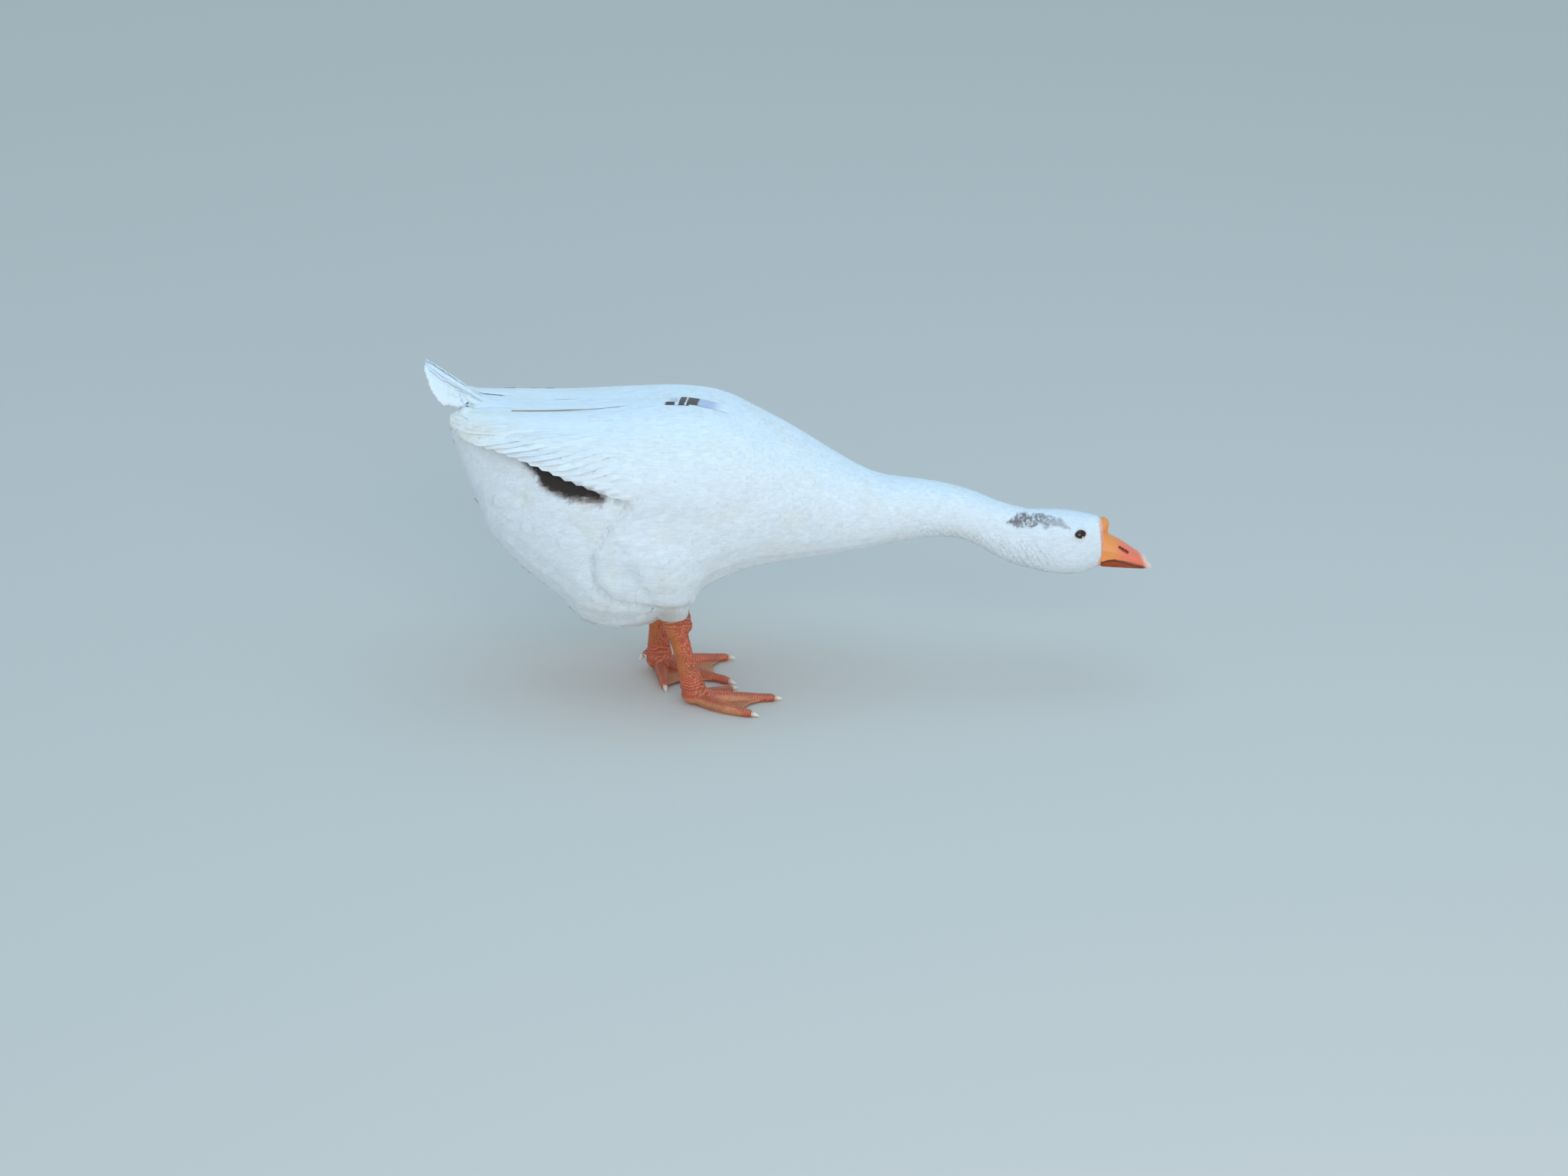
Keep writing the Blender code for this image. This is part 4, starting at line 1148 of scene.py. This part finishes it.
ZONE_FROM_X = {"breast": -0.03, "neck": 0.10, "head": 0.245}
THIGH_REACH = 0.042
roots, root_triangles, gaps = scattered(spacing_at, feathered, 5)
root_wing = form.read(form_wing[:, None], roots, root_triangles)[:, 0]
on_quills = (root_wing > 0.5) & (roots[:, 0] < QUILLS_FROM_X - QUILLS_SLANT * (1 - round_share(roots)))
roots, root_triangles, gaps, root_wing = (
    rows[~on_quills] for rows in (roots, root_triangles, gaps, root_wing)
)
zone = np.full(len(roots), "back", dtype=object)
for name, from_x in ZONE_FROM_X.items():
    zone[roots[:, 0] > from_x] = name
body = zone == "back"
zone[body & (roots[:, 2] < 0.27) & (root_wing < 0.5)] = "flank"
zone[body & (roots[:, 2] < 0.175) & (root_wing < 0.5)] = "belly"
for start, end in thigh_lines:
    near_thigh = (off_line(roots, start, end) < THIGH_REACH) & (roots[:, 2] < 0.19)
    zone[body & near_thigh] = "thigh"
zone[body & (root_wing >= 0.5)] = "wing"

ZONES = {
    # zone: length and width in spacings, points across, raggedness, lift of the tip, softness
    "head": (3.2, 2.9, 3, 0.12, 0.00008, 0.70),
    "neck": (4.0, 3.1, 3, 0.14, 0.00012, 0.70),
    "breast": (5.0, 3.3, 5, 0.10, 0.00012, 0.75),
    "back": (5.4, 3.5, 5, 0.06, 0.00012, 0.80),
    "flank": (5.2, 3.3, 5, 0.12, 0.00018, 0.75),
    "belly": (5.0, 3.2, 5, 0.18, 0.00030, 0.70),
    "thigh": (5.0, 3.0, 5, 0.18, 0.00030, 0.70),
    "wing": (5.4, 3.5, 5, 0.05, 0.00010, 0.82),
}


def neck_relief(points):
    """The furrows of the neck, as a height."""
    return -FURROW_DEPTH * furrow_depth(points)


def looseness(places):
    """How loosely the coat's tips lie: 1 on the fluffy rear of the belly and at the leg's feathered edge."""
    x, z = places[:, 0], places[:, 2]
    rear = (1 - ramp(x, -0.285, -0.235)) * (1 - ramp(z, 0.250, 0.280))
    under = 0.5 * (1 - ramp(z, 0.095, 0.125))
    return np.maximum(rear, under)


LONG_SPREAD, WIDE_SPREAD = (0.88, 1.12), (0.9, 1.1)
TURN_SPREAD, LOOSE_TURN_SPREAD, LOOSE_ZONES = 0.10, 0.22, ("belly", "thigh")
TAIL_SHORTER, ROOT_SUNK = 0.55, 0.92
TUFTS_SHARE, TUFT_LIFT = 0.22, 0.0005
for seed, (name, style) in enumerate(ZONES.items()):
    chosen = zone == name
    count = chosen.sum()
    rng = np.random.default_rng(100 + seed)
    long_share, wide_share, columns, ragged, tip_lift, soft = style
    stations, outline = (FINE_STATIONS, FINE_OUTLINE) if name == "head" else (STATIONS, OUTLINE)
    lengths = gaps[chosen] * long_share * rng.uniform(*LONG_SPREAD, count)
    at_tail = ramp(-roots[chosen, 0], 0.305, 0.325) * ramp(roots[chosen, 2], 0.300, 0.312)
    lengths *= 1 - TAIL_SHORTER * at_tail
    widths = gaps[chosen] * wide_share * rng.uniform(*WIDE_SPREAD, count)
    turn = rng.normal(0, LOOSE_TURN_SPREAD if name in LOOSE_ZONES else TURN_SPREAD, count)
    paths, ups, depths = marched(roots[chosen], root_triangles[chosen], lengths, stations, turn)
    rise = ramp(stations, -0.08, 0.50)[None]
    lifts = -depths * (1 - rise) * ROOT_SUNK + tip_lift * (stations[None] - 0.35)
    lifts += rng.normal(0, 0.35 * tip_lift, (count, 1))
    tufted = looseness(roots[chosen]) * (rng.random(count) < TUFTS_SHARE)
    tufted = tufted * rng.exponential(TUFT_LIFT, count)
    lifts += tufted[:, None] * stations[None] ** 2
    feathers(
        "coat_" + name, paths, ups, lifts, widths, outline, columns, 200 + seed,
        ragged=ragged, soft=soft, relief=neck_relief if name in ("neck", "head") else None, hugged=form,
    )

# ---- The folded wings' long quills ----------------------------------------------------------------------
# The inner wing's quills fan back from under the coverts. Each lies over the next one down, so that a strip
# of each shows, and their tips make the wing's lower edge. Narrow primaries reach furthest back.
QUILL_STATIONS = np.linspace(0, 1, 15)
QUILL_OUTLINE = np.interp(
    QUILL_STATIONS, (0, 0.10, 0.35, 0.70, 0.88, 0.95, 1.0), (0.45, 0.70, 0.95, 1.0, 0.92, 0.76, 0.30)
)
QUILL_COLUMNS = 7
SECONDARIES, SECONDARY_LONG, SECONDARY_WIDE = 13, 0.105, 0.031
SECONDARY_TIPS_X = (-0.334, -0.196)
PRIMARIES, PRIMARY_WIDE = 4, 0.015
TERTIALS, TERTIAL_WIDE = 5, 0.026
UNDER_COVERTS, UNDER_TERTIALS = 0.0045, 0.0060


def quill_rows():
    """Root and tip of a wing's long quills, fanned and then inner: x, share round, width, lift, tilt."""
    fanned, inner = [], []
    for i in range(PRIMARIES):
        root_share, tip_share = 0.64 - 0.10 * i, 0.92 - 0.21 * i
        fanned.append((-0.225, root_share, -0.3475 - 0.0032 * i, tip_share, PRIMARY_WIDE, -0.0004, 0.04))
    for i in range(SECONDARIES):
        x = SECONDARY_TIPS_X[1] + (SECONDARY_TIPS_X[0] - SECONDARY_TIPS_X[1]) * i / (SECONDARIES - 1)
        arc = np.interp(x, (-0.34, -0.29, -0.20, -0.15), (0.030, 0.066, 0.112, 0.125))
        last = np.clip((i - 7) / 5, 0, 1)
        wide, tilt = SECONDARY_WIDE - 0.007 * last, 0.008 + 0.06 * last
        tip_share = 1 - (0.0070 - 0.0035 * last) / arc
        fan = np.interp(x, (-0.33, -0.27, -0.17), (0.56, 0.50, 0.36))
        fanned.append((x + SECONDARY_LONG, tip_share - fan, x, tip_share, wide, 0.0, tilt))
    for i in range(TERTIALS):
        share = 0.58 - 0.115 * i
        root_x, tip_x = -0.150 - 0.006 * i, -0.330 - 0.0050 * i
        inner.append((root_x, share - 0.10, tip_x, share - 0.02, TERTIAL_WIDE, 0.0, 0.008))
    return {"wing_quills_": np.array(fanned), "wing_tertials_": np.array(inner)}


def quill_tones(points, vane, stray):
    """Marks, with a faint warm shaft and warm edges on the long quills."""
    warm = 0.08 * hump(vane[:, 0], 0.5, 0.045) + 0.14 * ramp(np.abs(vane[:, 0] - 0.5), 0.40, 0.48)
    return toned(marks(points, stray), warm, CREAM)


def drawn_out(starts, ends, shares):
    """Values from a start to an end for each row, at shares of the way."""
    return starts[:, None] + (ends - starts)[:, None] * shares


quill_paint = feather_paint("white_quills", 260.0, 0.30, 0.62)
quill_shares = QUILL_STATIONS[None]
for seed, (side, sign) in enumerate(SIDES.items()):
    for name, rows in quill_rows().items():
        x = drawn_out(rows[:, 0], rows[:, 2], quill_shares)
        round_wing = drawn_out(rows[:, 1], rows[:, 3], quill_shares)
        paths, ups = laid_on(wing_surfaces[side], sign, x, round_wing)
        hidden = x - (QUILLS_FROM_X - QUILLS_SLANT * (1 - round_wing))
        buried = -UNDER_COVERTS * ramp(hidden, -0.004, 0.035)
        if name == "wing_quills_":
            # the fanned quills sink where the inner ones cover them
            buried = buried - UNDER_TERTIALS * ramp(0.60 - round_wing, 0.0, 0.20) * ramp(x, -0.350, -0.326)
        lifts = buried + 0.0002 + 0.5 * rows[:, 5:6] - 0.0012 * (1 - ramp(quill_shares, 0.0, 0.4))
        feathers(
            name + side, paths, ups, lifts, rows[:, 4], QUILL_OUTLINE, QUILL_COLUMNS, 300 + seed,
            bow=0.02, soft=0.86, tilt=-sign * rows[:, 6], paint=quill_tones, material=quill_paint,
            hugged=wing_surfaces[side] if name == "wing_tertials_" else None,
        )

# The lowest scapulars lie along the back over the wings' upper edges. The right ones have a straw margin
# and, further forward, a grey painted shadow along it.
SCAPULARS = (
    # root x, tip x, outer edge at root and tip, width, lift
    (-0.215, -0.3430, 0.0150, 0.0190, 0.014, -0.0012),
    (-0.118, -0.3380, 0.0245, 0.0330, 0.020, 0.0),
)
SCAPULAR_OUTLINE = np.interp(QUILL_STATIONS, (0, 0.15, 0.92, 0.97, 1.0), (0.6, 1.0, 1.0, 0.80, 0.25))
STRAW_X = (-0.340, -0.300, -0.285, -0.232, -0.216)
STRAW_SHARE = (0.40, 0.65, 0.95, 0.95, 0.0)


def laid_from_above(surface, x, y):
    """Places and facings on a surface straight under x and y."""
    starts = np.stack((x.ravel(), y.ravel(), np.full(x.size, 0.5)), 1)
    spots, triangles, _ = surface.struck(starts, np.tile((0.0, 0.0, -1.0), (x.size, 1)), 0.4)
    ups = unit(surface.read(surface.normals, spots, triangles))
    return spots.reshape(x.shape + (3,)), ups.reshape(x.shape + (3,))


def straw_margin(points, vane, stray):
    """Marks, with straw along a right scapular's outer margin and, further forward, a faint grey painted
    shadow along it.
    """
    margin = ramp(vane[:, 0], 0.80, 0.96) * (points[:, 0] > -0.341)
    tone = toned(marks(points, stray), margin * np.interp(points[:, 0], STRAW_X, STRAW_SHARE), STRAW)
    # painted shadow: the margin a little greyer further forward
    grey = 0.10 * margin * ramp(points[:, 0], -0.236, -0.222)
    return tone * (1 - grey)[:, None]


rows = np.array(SCAPULARS)
x = drawn_out(rows[:, 0], rows[:, 1], quill_shares)
edge = drawn_out(rows[:, 2], rows[:, 3], quill_shares)
lifts = 0.0003 + 0.0013 * ramp(-x, 0.195, 0.240) + rows[:, 5:6]
lifts = lifts - 0.0040 * (1 - ramp(quill_shares, 0.0, 0.30))
for seed, (side, tilt, paint) in enumerate((("right", 0.04, straw_margin), ("left", -0.10, quill_tones))):
    paths, ups = laid_from_above(form, x, SIDES[side] * (edge - 0.5 * rows[:, 4:5]))
    feathers(
        "scapulars_" + side, paths, ups, lifts, rows[:, 4], SCAPULAR_OUTLINE, QUILL_COLUMNS, 320 + seed,
        bow=0.03, soft=0.80, tilt=tilt, paint=paint, material=quill_paint, hugged=form,
    )

# Right of the middle of the back a few feathers are barred dark brown and white, with slate-blue roots.
BARRED = (
    # root x, tip x, y, width
    (-0.100, -0.1325, -0.0262, 0.0075), (-0.085, -0.1195, -0.0160, 0.0190),
    (-0.076, -0.1120, -0.0165, 0.0200), (-0.055, -0.0985, -0.0175, 0.0205),
)
BAR_SLANT, BAR_COLUMNS = 0.13, 25
BAR_STATIONS = np.linspace(0, 1, 46)
BAR_OUTLINE = np.interp(BAR_STATIONS, (0, 0.2, 0.93, 1.0), (0.6, 1.0, 1.0, 0.70))
BAR_BROWN = np.array((0.050, 0.034, 0.030))
SLATE = np.array((0.43, 0.47, 0.66))


def bar_paint(points, vane, stray):
    """Dark bars with white slits between them, then slate-blue that fades forward."""
    x = points[:, 0] - BAR_SLANT * (points[:, 1] + 0.0165)
    x = x + 0.0007 * wander(points, 0.0026, 15) + 0.0004 * wander(points, 0.0011, 16)
    bar = band(x, -0.1175, -0.1163, -0.1108, -0.1098)
    bar = np.maximum(bar, band(x, -0.1094, -0.1082, -0.0980, -0.0966))
    low = band(x, -0.1312, -0.1298, -0.1215, -0.1200) * (points[:, 1] < -0.0225)
    bar = np.maximum(bar, low)
    slate = band(x, -0.0982, -0.0968, -0.0860, -0.0700)
    tone = toned(np.tile(WHITE, (len(points), 1)), 0.85 * slate, SLATE)
    return toned(tone, bar, BAR_BROWN)


rows = np.array(BARRED)
x = drawn_out(rows[:, 0], rows[:, 1], BAR_STATIONS[None])
paths, ups = laid_from_above(form, x, rows[:, 2:3] - 0.02 * (rows[:, 0:1] - x))
lifts = 0.0006 - 0.0024 * (1 - ramp(BAR_STATIONS[None], 0.0, 0.35)) + 0 * x
feathers(
    "barred_feathers", paths, ups, lifts, rows[:, 3], BAR_OUTLINE, BAR_COLUMNS, 330,
    bow=0.03, soft=0.85, paint=bar_paint, material=quill_paint, hugged=form,
)

# ---- The tail -------------------------------------------------------------------------------------------
# Stiff quills fan from the rump, the middle pair on top, held up and closed like a pointed roof.
RECTRICES, RECTRIX_WIDE = 15, 0.0135
TAIL_GRAIN, TAIL_ROUNDS = 0.0013, 6
TAIL_ROOT_X, TAIL_TIP_X = -0.3045, -0.3818
tail_surface = surface_of(remeshed(("tail",), SWELL, TAIL_GRAIN), TAIL_ROUNDS)
tail_points = points_of(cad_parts["tail"].data)
tail_x = np.unique(np.round(tail_points[:, 0], 3))
tail_half = np.array([np.abs(tail_points[np.abs(tail_points[:, 0] - x) < 0.0012, 1]).max() for x in tail_x])
fan = np.linspace(-1, 1, RECTRICES)
fan = fan[np.argsort(-np.abs(fan))]
tail_tips = TAIL_TIP_X + 0.0150 * np.abs(fan) ** 2.2
x = drawn_out(np.full(RECTRICES, TAIL_ROOT_X), tail_tips, quill_shares)
y = 0.86 * fan[:, None] * np.interp(x, tail_x, tail_half)
paths, ups = laid_from_above(tail_surface, x, y)
lifts = -0.0005 + 0.0008 * (1 - np.abs(fan))[:, None] + 0 * x
feathers(
    "tail_quills", paths, ups, lifts, np.full(RECTRICES, RECTRIX_WIDE), QUILL_OUTLINE, QUILL_COLUMNS, 340,
    bow=0.03, soft=0.7, tilt=0.03 * np.sign(fan), paint=quill_tones, material=quill_paint,
)

# ---- The bill -------------------------------------------------------------------------------------------
# Horn under a waxy orange skin: the upper bill runs into a low knob on the brow and ends in a pale hard
# nail; the lower one is shut against it, with a comb of tan plates between them.
GAPE_X = (0.3220, 0.3287, 0.3345, 0.3426, 0.3524, 0.3621, 0.3730, 0.3770, 0.3850)
GAPE_Z = (0.1496, 0.1507, 0.1534, 0.1542, 0.1510, 0.1478, 0.1443, 0.1420, 0.1340)
NOSTRIL = (np.array((0.3480, 0.0, 0.1663)), np.array((0.3568, 0.0, 0.1605)))
ORANGE = np.array((0.90, 0.300, 0.070))
ORANGE_LIGHT = np.array((0.92, 0.40, 0.12))
CORAL = np.array((0.90, 0.200, 0.110))
PEACH = np.array((0.86, 0.66, 0.54))
LOW_RED = np.array((0.72, 0.130, 0.035))
TAN = np.array((0.42, 0.20, 0.075))
GAPE_SHADE = np.array((0.050, 0.018, 0.012))
NOSTRIL_SHADE_RED = np.array((0.20, 0.012, 0.010))
NOSTRIL_ROSE = np.array((0.86, 0.22, 0.16))


def nostril_gap(points):
    """How far points on the bill's sides are from the slit of the nostril, looking along it."""
    gap = off_line(points * np.array((1, 0, 1)), *NOSTRIL)
    return np.where(np.abs(points[:, 1]) > 0.004, gap, 1.0)


def over_gape(points):
    """How far points are above the line where the bill shuts."""
    return points[:, 2] - np.interp(points[:, 0], GAPE_X, GAPE_Z)


def bill_tones(points):
    """The bill's colours: orange to coral, a pink root, a pale tip, a red nostril, and a dark gape of
    painted shade in its grooves.
    """
    x, z = points[:, 0], points[:, 2]
    above = over_gape(points)
    cloud, speck = wander(points, 0.010, 31), wander(points, 0.0016, 32)
    tone = np.tile(ORANGE, (len(points), 1))
    tone = toned(tone, 0.30 * ramp(speck, 0.0, 0.6), ORANGE_LIGHT)
    tone = toned(tone, ramp(x + 0.004 * cloud, 0.340, 0.356), CORAL)
    tone = toned(tone, 0.75 * (1 - ramp(x - border_at(z), 0.0004, 0.0022)), PINK_RIM)
    tone = toned(tone, ramp(x + 0.5 * np.clip(z - 0.146, 0, 1), 0.3735, 0.3795), PEACH)
    tone = toned(tone, 1 - ramp(above, -0.0022, -0.0012), LOW_RED)
    # the comb's plates are tan with pale stripes, partly their own paleness and partly painted highlights on
    # them
    plates = ramp(np.sin(2 * math.pi * x / 0.0013), -0.3, 0.5)
    comb = band(above, -0.0022, -0.0018, -0.0004, 0.0) * (1 - ramp(x, 0.372, 0.378))
    tone = toned(tone, comb, TAN * 0.7)
    tone = toned(tone, 0.7 * comb * plates, TAN * 1.7)
    # painted shade: dark lines in the grooves along the edges of the comb where the bill shuts
    for height in (-0.0021, -0.0001):
        line = hump(above, height, 0.00042) * (1 - ramp(x, 0.374, 0.381))
        tone = toned(tone, 0.92 * line, GAPE_SHADE)
    slit = nostril_gap(points)
    tone = toned(tone, 0.35 * hump(slit, 0.0, 0.0032), NOSTRIL_ROSE)
    # the slit itself near-black red: the nostril's own red deepened by painted shade inside the opening
    tone = toned(tone, 1 - ramp(slit, 0.0008, 0.0018), NOSTRIL_SHADE_RED)
    return tone * (1 + 0.05 * cloud)[:, None]


def horn_pit_group():
    """The fine pits of horn, as a height and a shade painted from it: darker in the pits, lighter on the
    rises between them.
    """
    group, given, end = relief_shade_group("horn_pits", {"Place": "NodeSocketVector", "Fineness": "NodeSocketFloat"})
    pits = node_of(group, "ShaderNodeTexNoise", {
        "Vector": given["Place"], "Scale": given["Fineness"], "Detail": 3.0
    }).outputs["Fac"]
    # painted shade in the pits and painted highlight on the rises
    pit_shade = node_of(group, "ShaderNodeMapRange", {0: pits, 1: 0.3, 2: 0.75, 3: 0.90, 4: 1.05})
    fed(group, end, {"Height": pits, "Shade": pit_shade.outputs[0]})
    return group


HORN_DEPTH = 0.0003
horn_pits = horn_pit_group()


def horn_paint(name, fineness, roughness, relief):
    """Waxy horn in the colours painted on the mesh, with fine pits and creases."""
    made, tree, shader = new_material(name)
    relief_shaded(tree, shader, horn_pits, {"Fineness": fineness}, relief, HORN_DEPTH)
    fed(tree, shader, {
        "Roughness": roughness, "Subsurface Weight": 0.10, "Subsurface Radius": (0.003, 0.001, 0.0005),
        "Coat Weight": 0.12, "Coat Roughness": 0.3,
    })
    return made


def horn_piece(name, nodes, mesh, tones, paint):
    """A piece of painted horn that stands for CAD nodes."""
    smoothed(mesh)
    coloured(mesh, tones)
    mesh.materials.clear()
    mesh.materials.append(paint)
    piece = linked(name, mesh)
    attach(piece, "root")
    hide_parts(*nodes)


# The bill's whole shape, with its root drawn back under the skin, its nostrils sunk and its sides creased.
ROOT_LONG, ROOT_NARROWER, ROOT_MIDDLE_Z = 0.0050, 0.10, 0.171
places = bill_form.points.copy()
x, z = places[:, 0], places[:, 2]
above = over_gape(places)
slit = nostril_gap(places)
sink = -0.0014 * (1 - ramp(slit, 0.0006, 0.0018)) + 0.00022 * hump(slit, 0.0023, 0.0007)
sink -= 0.00035 * hump(above, -0.0011, 0.0010) * (1 - ramp(x, 0.374, 0.381))
sink -= 0.00018 * hump(x + 0.5 * (z - 0.146), 0.3725, 0.0006) * ramp(above, 0.0, 0.001)
places = places + bill_form.normals * sink[:, None]
root_x = places[:, 0].min()
drawn = 1 - ramp(places[:, 0], root_x + 0.0002, root_x + 0.0020)
places[:, 0] -= ROOT_LONG * drawn
places[:, 1] *= 1 - ROOT_NARROWER * drawn
places[:, 2] += (ROOT_MIDDLE_Z - places[:, 2]) * ROOT_NARROWER * drawn
set_points(bill_mesh, places)

# A slab whose top follows the gape parts the upper bill from the lower.
SLAB_CUTS, SLAB_HALF, SLAB_LOW_Z = 101, 0.05, 0.12
slab_points = []
slab_x = np.linspace(0.30, 0.40, SLAB_CUTS)
for gape_x, gape_z in zip(slab_x, np.interp(slab_x, GAPE_X, GAPE_Z)):
    ring = ((-SLAB_HALF, SLAB_LOW_Z), (SLAB_HALF, SLAB_LOW_Z), (SLAB_HALF, gape_z), (-SLAB_HALF, gape_z))
    slab_points += [(gape_x, ring_y, ring_z) for ring_y, ring_z in ring]
end = 4 * (SLAB_CUTS - 1)
slab_faces = [(0, 1, 2), (0, 2, 3)]
for i in range(0, end, 4):
    for j in range(4):
        k = (j + 1) % 4
        slab_faces += [(i + j, i + 4 + j, i + 4 + k), (i + j, i + 4 + k, i + k)]
slab_faces += [(end, end + 2, end + 1), (end, end + 3, end + 2)]
slab = linked("gape_slab", mesh_from("gape_slab", np.array(slab_points), np.array(slab_faces)))
bill_paint = horn_paint("waxy_horn", 700.0, 0.38, 0.22)
for name, nodes, way in (
    ("upper_bill", ("bill_upper", "bill_knob", "bill_nail"), "DIFFERENCE"),
    ("lower_bill", ("bill_lower",), "INTERSECT"),
):
    mesh = modified(bill_mesh.copy(), "BOOLEAN", operation=way, solver="MANIFOLD", object=slab)
    mesh.set_sharp_from_angle(angle=math.radians(50))
    horn_piece(name, nodes, mesh, bill_tones(points_of(mesh)), bill_paint)
bpy.data.objects.remove(slab)

# ---- The eyes -------------------------------------------------------------------------------------------
# A wet ball in each lid, nearly black with a little brown in it.
EYE_BLACK = (0.004, 0.003, 0.004, 1.0)
EYE_BROWN = (0.020, 0.009, 0.007, 1.0)
eye_paint, eye_tree, eye_shader = new_material("wet_eye")
eye_where = node_of(eye_tree, "ShaderNodeTexCoord").outputs["Object"]
eye_noise = node_of(eye_tree, "ShaderNodeTexNoise", {"Vector": eye_where, "Scale": 900.0, "Detail": 2.0})
fed(eye_tree, eye_shader, {
    "Base Color": mixed(eye_tree, eye_noise.outputs["Fac"], EYE_BLACK, EYE_BROWN),
    "Roughness": 0.16, "Specular IOR Level": 0.35, "Coat Weight": 0.3, "Coat Roughness": 0.03,
})
for side, sign in SIDES.items():
    eye_name = "eye_" + side
    ball = bmesh.new()
    bmesh.ops.create_uvsphere(ball, u_segments=48, v_segments=28, radius=1.0)
    ball_mesh = bpy.data.meshes.new(eye_name + "_ball")
    ball.to_mesh(ball_mesh)
    ball.free()
    round_ball = points_of(ball_mesh) * np.array((BALL_LONG, BALL_HIGH, BALL_DEEP))
    round_ball[:, 2] += eye_outs[side] - BALL_DEEP
    set_points(ball_mesh, eye_centres[side] + round_ball @ eye_axes[side])
    if sign > 0:
        ball_mesh.flip_normals()
    smoothed(ball_mesh)
    ball_mesh.materials.append(eye_paint)
    eye = linked(eye_name + "_ball", ball_mesh)
    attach(eye, "root")
    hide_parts(eye_name)

# ---- The claws ------------------------------------------------------------------------------------------
# Blunt pale horn, pinker where it comes out of the toe.
CLAW_GRAIN, CLAW_ROUNDS = 0.0004, 4
CLAW_ROOT = np.array((0.60, 0.30, 0.22))
CLAW_TIP = np.array((0.82, 0.72, 0.62))
claw_paint = horn_paint("claw_horn", 1100.0, 0.35, 0.15)
for side in SIDES:
    for toe in TOES + ("hind",):
        node = f"claw_{side}_{toe}"
        mesh = remeshed((node,), 0.0001, CLAW_GRAIN)
        set_points(mesh, evened(mesh, points_of(mesh), CLAW_ROUNDS))
        away = np.linalg.norm(points_of(mesh)[:, :2] - np.array(hock_of(side))[:2], axis=1)
        tip_share = ramp(away, away.min(), away.min() + 0.6 * np.ptp(away))
        tones = toned(np.tile(CLAW_ROOT, (len(away), 1)), tip_share, CLAW_TIP)
        horn_piece(node + "_horn", (node,), mesh, tones, claw_paint)
